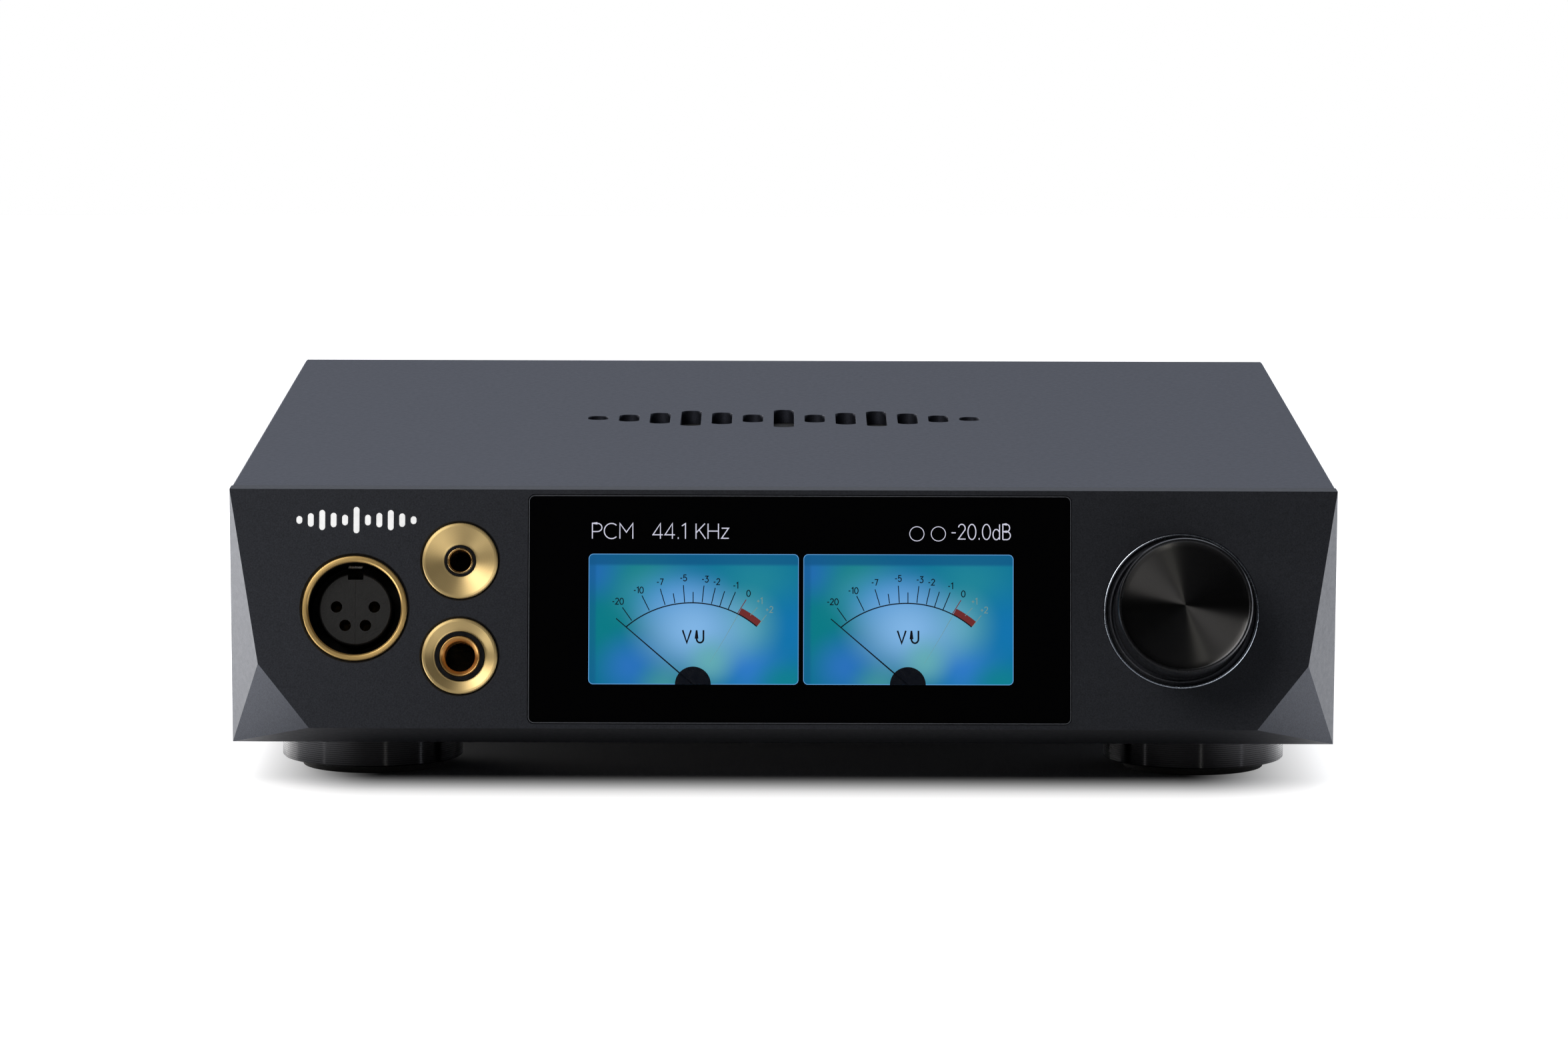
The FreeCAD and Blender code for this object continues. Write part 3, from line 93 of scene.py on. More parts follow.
class Mat:
    """A Principled material with procedural colour, roughness and bump."""

    def __init__(self, name, base, metallic=0.0, rough=0.5, **sockets):
        self.m = bpy.data.materials.new(name)
        self.m.use_nodes = True
        self.nt = self.m.node_tree
        self.b = self.nt.nodes["Principled BSDF"]
        self.base = base
        self.rough = rough
        self.b.inputs["Base Color"].default_value = base
        self.b.inputs["Metallic"].default_value = metallic
        self.b.inputs["Roughness"].default_value = rough
        for k, v in sockets.items():
            self.b.inputs[k.replace("_", " ")].default_value = v
        self.m.diffuse_color = base
        self.normal = None

    def node(self, kind, **props):
        n = self.nt.nodes.new(kind)
        for k, v in props.items():
            setattr(n, k, v)
        return n

    def link(self, a, b):
        self.nt.links.new(a, b)

    def coords(self, which="Object", scale=None):
        tc = self.node("ShaderNodeTexCoord")
        if scale is None:
            return tc.outputs[which]
        mp = self.node("ShaderNodeMapping")
        mp.inputs["Scale"].default_value = scale
        self.link(tc.outputs[which], mp.inputs["Vector"])
        return mp.outputs["Vector"]

    def noise(self, scale, detail=2.0, rough=0.5, stretch=None):
        n = self.node("ShaderNodeTexNoise")
        n.inputs["Scale"].default_value = scale
        n.inputs["Detail"].default_value = detail
        n.inputs["Roughness"].default_value = rough
        self.link(self.coords("Object", stretch), n.inputs["Vector"])
        return n.outputs["Fac"]

    def vary_colour(self, fac, low=0.85, high=1.15):
        """Base colour times low..high by a 0..1 factor."""
        r = self.node("ShaderNodeValToRGB")
        b = self.base
        r.color_ramp.elements[0].position = 0.3
        r.color_ramp.elements[1].position = 0.7
        r.color_ramp.elements[0].color = (b[0] * low, b[1] * low, b[2] * low, 1)
        r.color_ramp.elements[1].color = (b[0] * high, b[1] * high, b[2] * high, 1)
        self.link(fac, r.inputs["Fac"])
        self.link(r.outputs["Color"], self.b.inputs["Base Color"])
        return self

    def vary_rough(self, fac, spread=0.06):
        r = self.node("ShaderNodeMapRange")
        r.inputs["From Min"].default_value = 0.3
        r.inputs["From Max"].default_value = 0.7
        r.inputs["To Min"].default_value = max(0.02, self.rough - spread)
        r.inputs["To Max"].default_value = min(1.0, self.rough + spread)
        self.link(fac, r.inputs["Value"])
        self.link(r.outputs["Result"], self.b.inputs["Roughness"])
        return self

    def bump(self, fac, distance, strength=1.0):
        n = self.node("ShaderNodeBump")
        n.inputs["Strength"].default_value = strength
        n.inputs["Distance"].default_value = distance
        self.link(fac, n.inputs["Height"])
        if self.normal is not None:
            self.link(self.normal, n.inputs["Normal"])
        self.normal = n.outputs["Normal"]
        self.link(self.normal, self.b.inputs["Normal"])
        return self

    def radial(self, axis="Z"):
        t = self.node("ShaderNodeTangent", direction_type="RADIAL", axis=axis)
        self.link(t.outputs["Tangent"], self.b.inputs["Tangent"])
        return self


def blasted(name, base, rough, metallic=0.85, grain=3600.0, depth=0.00002):
    """Bead-blasted anodised metal: fine pits, a little mottling."""
    m = Mat(name, base, metallic, rough)
    m.vary_colour(m.noise(grain, 2.0), 0.80, 1.20)
    m.vary_rough(m.noise(900.0, 3.0), 0.03)
    m.bump(m.noise(grain * 0.8, 3.0, 0.6), depth, 0.55)
    return m


def spun(name, base, rough, aniso=0.9, metallic=1.0, pitch=0.24, depth=0.0000008, lines=0.07, **sockets):
    """Lathe-turned metal about its own z: fine rings and a fan-shaped sheen."""
    m = Mat(name, base, metallic, rough, Anisotropic=aniso, Anisotropic_Rotation=0.25, **sockets)
    m.radial()
    w = m.node("ShaderNodeTexWave", wave_type="RINGS", rings_direction="Z", wave_profile="SIN")
    w.inputs["Scale"].default_value = 314.16 / pitch
    w.inputs["Distortion"].default_value = 0.0
    m.link(m.coords("Object"), w.inputs["Vector"])
    m.vary_colour(w.outputs["Fac"], 1.0 - lines, 1.0 + lines)
    m.bump(w.outputs["Fac"], depth, 0.3)
    return m


def moulded(name, base, rough=0.45, grain=2600.0, depth=0.00003, **sockets):
    m = Mat(name, base, 0.0, rough, **sockets)
    m.vary_colour(m.noise(700.0, 3.0), 0.9, 1.1)
    m.vary_rough(m.noise(1500.0, 2.0), 0.05)
    m.bump(m.noise(grain, 3.0, 0.6), depth, 0.4)
    return m


CASE = blasted("case_blasted", (0.052, 0.057, 0.077, 1), 0.50)
# the front panel uses the case's finish with a darker base: painted shade for its front face and top strip, which get
# less light
SHADED_PANEL = blasted("panel_blasted_shade", (0.037, 0.040, 0.049, 1), 0.46)
M = {
    "case_aluminium": CASE,
    "raw_aluminium": blasted("mill_aluminium", (0.62, 0.63, 0.65, 1), 0.4, 1.0, 1500.0, 0.00001),
    "black_mesh": moulded("black_gauze", (0.004, 0.004, 0.004, 1), 0.8),
    "display_glass": Mat("cover_glass", (0.0008, 0.0008, 0.001, 1), 0.0, 0.06, IOR=1.5),
    "display_panel": moulded("panel_back", (0.01, 0.011, 0.013, 1), 0.4),
    "plated_steel": blasted("nickel_plate", (0.52, 0.51, 0.49, 1), 0.28, 1.0, 1800.0, 0.000006),
    "circuit_board": moulded("solder_mask", (0.006, 0.06, 0.032, 1), 0.32),
    "flex_film": moulded("polyimide", (0.45, 0.2, 0.05, 1), 0.35),
    "knob_gloss_black": spun("knob_spun", (0.078, 0.077, 0.077, 1), 0.25, 0.99, pitch=0.31, depth=0.0000002, lines=0.03),
    "dark_steel": blasted("black_oxide", (0.05, 0.05, 0.052, 1), 0.35, 1.0, 2500.0, 0.000008),
    "trim_silver": blasted("trim_blasted", (0.24, 0.25, 0.28, 1), 0.42, 1.0, 4200.0, 0.00003),
    "white_plastic": moulded("white_resin", (0.75, 0.75, 0.72, 1), 0.4),
    "gold_plate": spun("gold_spun", (1.0, 0.73, 0.34, 1), 0.47, 0.80),
    "black_plastic": moulded("black_resin", (0.012, 0.012, 0.013, 1), 0.5),
    "white_acrylic": moulded("white_guide", (0.84, 0.85, 0.86, 1), 0.25, 1200.0, 0.000004,
                             Emission_Color=(1, 1, 1, 1), Emission_Strength=0.35),
    "brass_posts": blasted("turned_brass", (0.6, 0.42, 0.18, 1), 0.3, 1.0, 1800.0, 0.000006),
    "chip_black": moulded("chip_resin", (0.018, 0.018, 0.02, 1), 0.55),
    "capacitor_sleeve": moulded("capacitor_film", (0.012, 0.014, 0.04, 1), 0.25),
    "relay_case": moulded("relay_resin", (0.3, 0.31, 0.32, 1), 0.3),
    "black_aluminium": blasted("heat_sink_black", (0.03, 0.03, 0.032, 1), 0.45),
    "core_steel": blasted("core_varnish", (0.05, 0.048, 0.05, 1), 0.4, 0.7, 1500.0, 0.00002),
    "winding_tape": moulded("tape_yellow", (0.6, 0.42, 0.05, 1), 0.35),
    "fuse_glass": moulded("fuse_tube", (0.5, 0.55, 0.55, 1), 0.1),
    "rocker_plastic": moulded("rocker_resin", (0.014, 0.014, 0.015, 1), 0.28),
    "black_metal": blasted("black_chrome", (0.03, 0.03, 0.032, 1), 0.3, 1.0, 2400.0, 0.000008),
    "foot_gloss_black": spun("foot_turned", (0.030, 0.030, 0.032, 1), 0.20, 0.985, lines=0.05),
    "pad_rubber": moulded("soft_rubber", (0.014, 0.014, 0.014, 1), 0.85),
}
f = M["display_glass"]
f.vary_rough(f.noise(60.0, 2.0), 0.02)

CUT_EDGE = blasted("cut_edge", (0.50, 0.52, 0.56, 1), 0.25, 1.0, 2400.0, 0.000004)
BEZEL_GOLD = spun("bezel_gold", (0.84, 0.57, 0.22, 1), 0.38, 0.45)
# the contacts' gold is darkened to a dull brown: painted shade for the inside of the socket's holes
SHADED_CONTACT_GOLD = blasted("contact_gold_painted_shade", (0.16, 0.11, 0.05, 1), 0.35, 1.0, 1800.0, 0.000004)
BEAD = blasted("ring_bead", (0.50, 0.55, 0.63, 1), 0.26, 1.0, 3000.0, 0.000002)
FERRULE_GOLD = spun("ferrule_gold", (0.95, 0.55, 0.19, 1), 0.32, 0.4)
SLEEVE_GOLD = spun("sleeve_gold", (0.86, 0.60, 0.27, 1), 0.22, 0.3)
SOCKET_BLACK = moulded("socket_resin", (0.007, 0.0072, 0.0076, 1), 0.48, 2200.0, 0.00008, Specular_IOR_Level=0.40)
GLOSS_BLACK = moulded("gloss_resin", (0.008, 0.008, 0.009, 1), 0.22, 2200.0, 0.000005)
SHELL_DARK = blasted("socket_shell_dark", (0.02, 0.02, 0.021, 1), 0.4, 0.9, 2400.0, 0.000008)
KNOB_SIDE = blasted("knob_side", (0.045, 0.046, 0.05, 1), 0.3, 1.0, 3800.0, 0.000006)


# ---------------------------------------------------------------------------
# Mesh helpers
# ---------------------------------------------------------------------------
def link(ob):
    bpy.context.scene.collection.objects.link(ob)
    return ob


def settle(ob, node=None, body=None, stands_for=()):
    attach(ob, body or BODY_OF[node])
    names = ([node] if node else []) + list(stands_for)
    if names:
        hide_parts(*names)
    return ob


def smooth(me, degrees=35.0):
    for p in me.polygons:
        p.use_smooth = True
    me.set_sharp_from_angle(angle=math.radians(degrees))


def refined(node, mat=None, width=0.25, segments=2, angle=28.0, extra=None):
    """The CAD shape with its edges broken, as the made piece has them."""
    src = NODES[node]
    me = src.data.copy()
    bm = bmesh.new()
    bm.from_mesh(me)
    bmesh.ops.remove_doubles(bm, verts=bm.verts, dist=2e-6)
    bmesh.ops.dissolve_limit(bm, angle_limit=math.radians(0.8), verts=bm.verts, edges=bm.edges)
    bm.to_mesh(me)
    bm.free()
    me.materials.clear()
    slot_name = next(s["material_slot"] for s in RECORD["subparts"] if s["node"] == node)
    me.materials.append((mat or M[slot_name]).m)
    ob = link(bpy.data.objects.new(node + "_made", me))
    if width:
        b = ob.modifiers.new("edges", "BEVEL")
        b.width, b.segments, b.limit_method = width * MM, segments, "ANGLE"
        b.angle_limit = math.radians(angle)
        b.use_clamp_overlap = True
        b.harden_normals = False
        dg = bpy.context.evaluated_depsgraph_get()
        done = bpy.data.meshes.new_from_object(ob.evaluated_get(dg))
        ob.modifiers.clear()
        ob.data = done
    smooth(ob.data, 32.0)
    w = ob.modifiers.new("flat_faces", "WEIGHTED_NORMAL")
    w.keep_sharp = True
    if extra:
        extra(ob)
    return settle(ob, node)


def arc_points(cx, cy, r, a0, a1, n):
    return [(cx + r * math.cos(math.radians(a0 + (a1 - a0) * k / n)),
             cy + r * math.sin(math.radians(a0 + (a1 - a0) * k / n))) for k in range(n + 1)]


def fillet(points, r, steps=3, closed=False):
    """Round each inner corner of a polyline of (a, b) points by r."""
    n = len(points)
    out = []
    for i, p in enumerate(points):
        if not closed and i in (0, n - 1):
            out.append(p)
            continue
        p = Vector(p)
        a, c = Vector(points[i - 1]), Vector(points[(i + 1) % n])
        u, v = a - p, c - p
        lu, lv = u.length, v.length
        if lu < 1e-9 or lv < 1e-9:
            out.append(tuple(p))
            continue
        u, v = u / lu, v / lv
        turn = u.angle(v)
        if turn > math.radians(172):
            out.append(tuple(p))
            continue
        t = min(r / math.tan(turn / 2), lu * 0.45, lv * 0.45)
        rr = t * math.tan(turn / 2)
        s, e = p + u * t, p + v * t
        mid = p + (u + v).normalized() * (rr / math.sin(turn / 2))
        a0, a1 = s - mid, e - mid
        total = a0.angle(a1)
        for k in range(steps + 1):
            w = k / steps
            q = (a0 * math.sin((1 - w) * total) + a1 * math.sin(w * total)) / math.sin(total)
            out.append(tuple(mid + q))
    return out


def lathe(name, profile, place, mats, segments=128, mark=None):
    """A closed turned piece. profile: (r, z) in mm, a closed loop or a line that
    starts and ends on the axis. mark(r, z) picks the material index."""
    bm = bmesh.new()
    rings = []
    axis_ends = profile[0][0] < 1e-6 and profile[-1][0] < 1e-6
    for r, z in profile:
        if r < 1e-6:
            rings.append([bm.verts.new((0, 0, z * MM))])
        else:
            rings.append([bm.verts.new((r * MM * math.cos(2 * math.pi * k / segments),
                                        r * MM * math.sin(2 * math.pi * k / segments), z * MM))
                          for k in range(segments)])
    pairs = list(zip(rings, rings[1:]))
    spans = list(zip(profile, profile[1:]))
    if not axis_ends:
        pairs.append((rings[-1], rings[0]))
        spans.append((profile[-1], profile[0]))
    for (a, b), (p, q) in zip(pairs, spans):
        index = mark((p[0] + q[0]) / 2, (p[1] + q[1]) / 2) if mark else 0
        for k in range(segments):
            j = (k + 1) % segments
            if len(a) == 1 and len(b) == 1:
                continue
            if len(a) == 1:
                face = bm.faces.new((a[0], b[j], b[k]))
            elif len(b) == 1:
                face = bm.faces.new((a[k], a[j], b[0]))
            else:
                face = bm.faces.new((a[k], a[j], b[j], b[k]))
            face.material_index = index
    bmesh.ops.recalc_face_normals(bm, faces=bm.faces)
    me = bpy.data.meshes.new(name)
    bm.to_mesh(me)
    bm.free()
    for m in mats:
        me.materials.append(m.m)
    smooth(me, 30.0)
    ob = link(bpy.data.objects.new(name, me))
    ob.matrix_world = place
    return ob


def rounded_rect(x0, y0, x1, y1, r, n=8):
    return (arc_points(x1 - r, y0 + r, r, -90, 0, n) + arc_points(x1 - r, y1 - r, r, 0, 90, n)
            + arc_points(x0 + r, y1 - r, r, 90, 180, n) + arc_points(x0 + r, y0 + r, r, 180, 270, n))


class Flat:
    """Thin inlays on the display, all in one mesh, in mm on the face frame."""

    def __init__(self, name, mat, z0, z1):
        self.name, self.mat, self.z0, self.z1 = name, mat, z0, z1
        self.bm = bmesh.new()

    def outline(self, points):
        bm = self.bm
        top = [bm.verts.new((x * MM, y * MM, self.z1 * MM)) for x, y in points]
        low = [bm.verts.new((x * MM, y * MM, self.z0 * MM)) for x, y in points]
        bm.faces.new(top)
        bm.faces.new(list(reversed(low)))
        n = len(points)
        for i in range(n):
            j = (i + 1) % n
            bm.faces.new((top[j], top[i], low[i], low[j]))

    def band(self, outer, inner):
        """Closed ring between two outlines with the same number of points."""
        bm = self.bm
        rows = [[bm.verts.new((x * MM, y * MM, z * MM)) for x, y in pts]
                for pts, z in ((outer, self.z1), (inner, self.z1), (inner, self.z0), (outer, self.z0))]
        n = len(outer)
        for a, b in zip(rows, rows[1:] + rows[:1]):
            for i in range(n):
                j = (i + 1) % n
                bm.faces.new((a[i], a[j], b[j], b[i]))

    def stroke(self, points, width, taper=None, closed=False):
        """A drawn line with mitred turns and square ends."""
        pts = [Vector(p) for p in points]
        if closed:
            n = len(pts)
            outer, inner = [], []
            for i in range(n):
                a, p, b = pts[i - 1], pts[i], pts[(i + 1) % n]
                d = ((p - a).normalized() + (b - p).normalized()).normalized()
                side = Vector((-d.y, d.x)) * width / 2
                outer.append(tuple(p + side))
                inner.append(tuple(p - side))
            self.band(outer, inner)
            return
        left, right = [], []
        for i, p in enumerate(pts):
            w = width if taper is None else width + (taper - width) * i / (len(pts) - 1)
            d0 = (p - pts[i - 1]).normalized() if i else None
            d1 = (pts[i + 1] - p).normalized() if i < len(pts) - 1 else None
            if d0 is None:
                d, k = d1, 1.0
            elif d1 is None:
                d, k = d0, 1.0
            else:
                d = (d0 + d1)
                d = d.normalized() if d.length > 1e-6 else d1
                k = 1.0 / max(0.45, d.dot(d1))
            side = Vector((-d.y, d.x)) * (w / 2 * k)
            left.append(tuple(p + side))
            right.append(tuple(p - side))
        bm = self.bm
        rows = [[bm.verts.new((x * MM, y * MM, z * MM)) for x, y in side]
                for side, z in ((left, self.z1), (right, self.z1), (right, self.z0), (left, self.z0))]
        for a, b in zip(rows, rows[1:] + rows[:1]):
            for i in range(len(pts) - 1):
                bm.faces.new((a[i], a[i + 1], b[i + 1], b[i]))
        bm.faces.new([r[0] for r in rows])
        bm.faces.new([r[-1] for r in reversed(rows)])

    def done(self, body="case", slot="display_panel"):
        bmesh.ops.recalc_face_normals(self.bm, faces=self.bm.faces)
        me = bpy.data.meshes.new(self.name)
        self.bm.to_mesh(me)
        self.bm.free()
        me.materials.append(self.mat.m)
        ob = link(bpy.data.objects.new(self.name, me))
        ob.matrix_world = on_face()
        return settle(ob, body=body)


# ---------------------------------------------------------------------------
# A plain stroke alphabet for the numbers and units of the display
# (cap height 1, list of strokes; a stroke is a list of points)
# ---------------------------------------------------------------------------
def A(cx, cy, r, a0, a1, n=10, ry=None):
    ry = r if ry is None else ry
    return [(cx + r * math.cos(math.radians(a0 + (a1 - a0) * k / n)),
             cy + ry * math.sin(math.radians(a0 + (a1 - a0) * k / n))) for k in range(n + 1)]


GLYPHS = {
    "P": (0.62, [[(0.06, 0), (0.06, 1), (0.34, 1)] + A(0.34, 0.73, 0.27, 90, -90) + [(0.06, 0.46)]]),
    "C": (0.80, [A(0.46, 0.5, 0.42, 48, 312, 18, 0.5)]),
    "M": (0.86, [[(0.06, 0), (0.06, 1), (0.43, 0.42), (0.80, 1), (0.80, 0)]]),
    "K": (0.68, [[(0.06, 0), (0.06, 1)], [(0.62, 1), (0.07, 0.40)], [(0.25, 0.60), (0.66, 0)]]),
    "H": (0.78, [[(0.06, 0), (0.06, 1)], [(0.72, 0), (0.72, 1)], [(0.06, 0.51), (0.72, 0.51)]]),
    "z": (0.56, [[(0.06, 0.70), (0.50, 0.70), (0.06, 0.04), (0.52, 0.04)]]),
    "4": (0.68, [[(0.50, 0), (0.50, 1.0), (0.03, 0.26), (0.66, 0.26)]]),
    "1": (0.38, [[(0.04, 0.84), (0.27, 1.0), (0.27, 0)]]),
    "2": (0.62, [A(0.30, 0.73, 0.25, 165, -20, 10, 0.27) + [(0.05, 0.03), (0.58, 0.03)]]),
    "0": (0.68, [A(0.34, 0.5, 0.29, 0, 360, 22, 0.5)]),
    "3": (0.62, [[(0.06, 0.98), (0.54, 0.98), (0.28, 0.62)] + A(0.28, 0.31, 0.28, 85, -150, 12, 0.31)]),
    "5": (0.62, [[(0.54, 0.98), (0.13, 0.98), (0.09, 0.55)] + A(0.28, 0.32, 0.28, 118, -152, 12, 0.32)]),
    "7": (0.58, [[(0.04, 0.98), (0.55, 0.98), (0.22, 0)]]),
    "-": (0.42, [[(0.05, 0.44), (0.36, 0.44)]]),
    "+": (0.52, [[(0.04, 0.46), (0.46, 0.46)], [(0.25, 0.25), (0.25, 0.67)]]),
    ".": (0.22, [[(0.11, -0.01), (0.11, 0.10)]]),
    "d": (0.64, [[(0.54, 1.0), (0.54, 0)], A(0.30, 0.33, 0.24, 35, 325, 16, 0.34)]),
    "B": (0.66, [[(0.06, 0), (0.06, 1), (0.34, 1)] + A(0.34, 0.76, 0.22, 90, -90, 8, 0.24)
                 + [(0.06, 0.52), (0.36, 0.52)] + A(0.36, 0.26, 0.25, 90, -90, 8, 0.26) + [(0.06, 0)]]),
    "V": (0.78, [[(0.03, 1.0), (0.37, 0.0), (0.71, 1.0)]]),
    "U": (0.74, [[(0.08, 1.0), (0.08, 0.32)] + A(0.36, 0.32, 0.28, 180, 360, 12, 0.32) + [(0.64, 1.0)]]),
    " ": (0.34, []),
}


def write(flat, text, x, y, cap, weight, middle=False, width=None, spacing=0.08):
    """Draw text with its baseline at y, starting at x or centred on it."""
    total = sum(GLYPHS[c][0] + spacing for c in text) - spacing
    k = cap if width is None else width / total
    if middle:
        x -= total * k / 2
    for c in text:
        adv, strokes = GLYPHS[c]
        for s in strokes:
            closed = c == "0"
            pts = [(x + px * k, y + py * cap) for px, py in (s[:-1] if closed else s)]
            flat.stroke(pts, weight, closed=closed)
        x += (adv + spacing) * k


def glow(name, colour, strength, rough=0.1):
    m = Mat(name, (colour[0] * 0.05, colour[1] * 0.05, colour[2] * 0.05, 1), 0.0, rough)
    m.b.inputs["Emission Color"].default_value = colour
    m.b.inputs["Emission Strength"].default_value = strength
    m.vary_rough(m.noise(900.0, 2.0), 0.02)
    return m


# ---------------------------------------------------------------------------
# Case
# ---------------------------------------------------------------------------
refined("front_panel", SHADED_PANEL, 0.22, 2, 14.0)
refined("top_cover", CASE, 0.18, 2)
refined("bottom_plate", CASE, 0.2, 1)
refined("rear_panel", CASE, 0.2, 1)

# ---------------------------------------------------------------------------
# Knob and its dished ring
# ---------------------------------------------------------------------------
KX, KS = 83.2, 25.2
prof = ([(14.55, -1.9), (16.28, -1.9)] + arc_points(15.97, -0.24, 0.31, 0, 180, 10)
        + fillet([(15.62, -0.42), (15.35, -0.80), (14.95, -1.08), (14.55, -1.15), (14.55, -1.9)], 0.15, 3)[:-1])
ring = lathe("knob_ring_made", prof, on_face(KX, KS), [M["trim_silver"], BEAD], 160,
             lambda r, z: 1 if r > 15.64 and z > -0.3 else 0)
settle(ring, "knob_trim_ring")

prof = [(0, 16.86)] + [(r, 16.86) for r in (0.4, 2, 4, 6, 8, 10, 12, 13.05)] + fillet([
    (13.1, 16.86), (13.22, 16.92), (13.42, 17.0), (13.72, 17.0), (14.0, 16.62), (14.0, 16.2), (14.0, 0.0), (14.0, -0.9), (13.6, -1.2)],
    0.12, 3)[1:] + [(8.0, -1.2), (8.0, 5.0), (3.02, 5.0), (3.02, 14.0), (0, 14.0)]
knob = lathe("knob_made", prof, on_face(KX, KS), [M["knob_gloss_black"], KNOB_SIDE, CUT_EDGE], 192,
             lambda r, z: 0 if (z > 16.8 and r < 13.15) else (1))
settle(knob, "volume_knob")

# ---------------------------------------------------------------------------
# 4-pin socket
# ---------------------------------------------------------------------------
XX, XS = -89.6, 25.0
prof = fillet([(9.725, -1.4), (11.0, -1.4), (11.0, 0.2), (10.8, 0.5), (10.05, 0.5), (9.725, 0.2)], 0.12, 3, True)
settle(lathe("xlr_bezel_made", prof, on_face(XX, XS), [BEZEL_GOLD], 160), "xlr_bezel")
refined("xlr_shell", SHELL_DARK, 0.1, 1)
refined("xlr_insert", SOCKET_BLACK, 0.16, 2)
refined("xlr_contacts", SHADED_CONTACT_GOLD, 0.05, 1)
refined("xlr_retention_spring", None, 0.08, 1)

# ---------------------------------------------------------------------------
# Jacks
# ---------------------------------------------------------------------------
JX = -67.6
prof = fillet([(3.32, -1.4), (7.9, -1.4), (7.9, 0.2), (7.7, 0.45), (7.25, 0.45), (3.75, -0.32), (3.32, -0.35)], 0.1, 3, True)
settle(lathe("jack_44_bezel_made", prof, on_face(JX, 15.0), [M["gold_plate"]], 160), "jack_44_bezel")
prof = fillet([(2.225, -7.0), (2.75, -7.0), (2.75, -0.32), (2.62, -0.18), (2.42, -0.18), (2.225, -0.45)], 0.06, 2, True)
settle(lathe("jack_44_sleeve_made", prof, on_face(JX, 15.0), [SLEEVE_GOLD], 96), "jack_44_sleeve")
prof = fillet([(5.22, -1.4), (7.9, -1.4), (7.9, 0.2), (7.7, 0.45), (7.25, 0.45), (5.55, -0.28), (5.22, -0.3)], 0.1, 3, True)
settle(lathe("jack_635_bezel_made", prof, on_face(JX, 35.0), [M["gold_plate"]], 160), "jack_635_bezel")
prof = fillet([(3.2, -7.5), (4.32, -7.5), (4.32, -0.35), (4.15, -0.12), (3.95, -0.12), (3.2, -0.9)], 0.06, 2, True)
settle(lathe("jack_635_ferrule_made", prof, on_face(JX, 35.0), [FERRULE_GOLD], 128), "jack_635_ferrule")
refined("jack_44_housing", GLOSS_BLACK, 0.08, 2)
refined("jack_635_housing", GLOSS_BLACK, 0.12, 2)

# light guide
refined("status_light_guide", M["white_acrylic"], 0.1, 2)

# ---------------------------------------------------------------------------
# Display: cover glass, two dial scales and the readouts
# ---------------------------------------------------------------------------
refined("display_glass", M["display_glass"], 0.22, 3)

GLASS = [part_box("display_glass")[0].x / MM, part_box("display_glass")[1].x / MM, 1.15, 49.0]
# a lighter band round the edge of the glass: painted highlight of the glass's bevel
EDGE = blasted("glass_edge_painted_highlight", (0.10, 0.108, 0.125, 1), 0.35, 0.3, 2600.0, 0.000004)
edge = Flat("glass_edge_highlight_band", EDGE, -0.30, 0.012)
edge.band(rounded_rect(GLASS[0] + 0.02, -GLASS[3] + 0.02, GLASS[1] - 0.02, -GLASS[2] - 0.02, 1.28),
          rounded_rect(GLASS[0] + 0.20, -GLASS[3] + 0.20, GLASS[1] - 0.20, -GLASS[2] - 0.20, 1.10))
edge.done(slot="display_glass")

PALE = glow("readout_pale", srgb(214, 214, 232), 0.9)
INK = Mat("dial_ink", (0.004, 0.006, 0.012, 1), 0.0, 0.25)
INK.vary_rough(INK.noise(800.0, 2.0), 0.03)
FAINT = Mat("dial_faint", (0.10, 0.16, 0.16, 1), 0.0, 0.3)
FAINT.b.inputs["Emission Color"].default_value = (0.16, 0.28, 0.27, 1)
FAINT.b.inputs["Emission Strength"].default_value = 0.7
RED = Mat("dial_red", (0.10, 0.012, 0.012, 1), 0.0, 0.3)
RED.b.inputs["Emission Color"].default_value = srgb(112, 44, 44)
RED.b.inputs["Emission Strength"].default_value = 0.6
RIM = glow("dial_rim", srgb(110, 175, 235), 0.8)


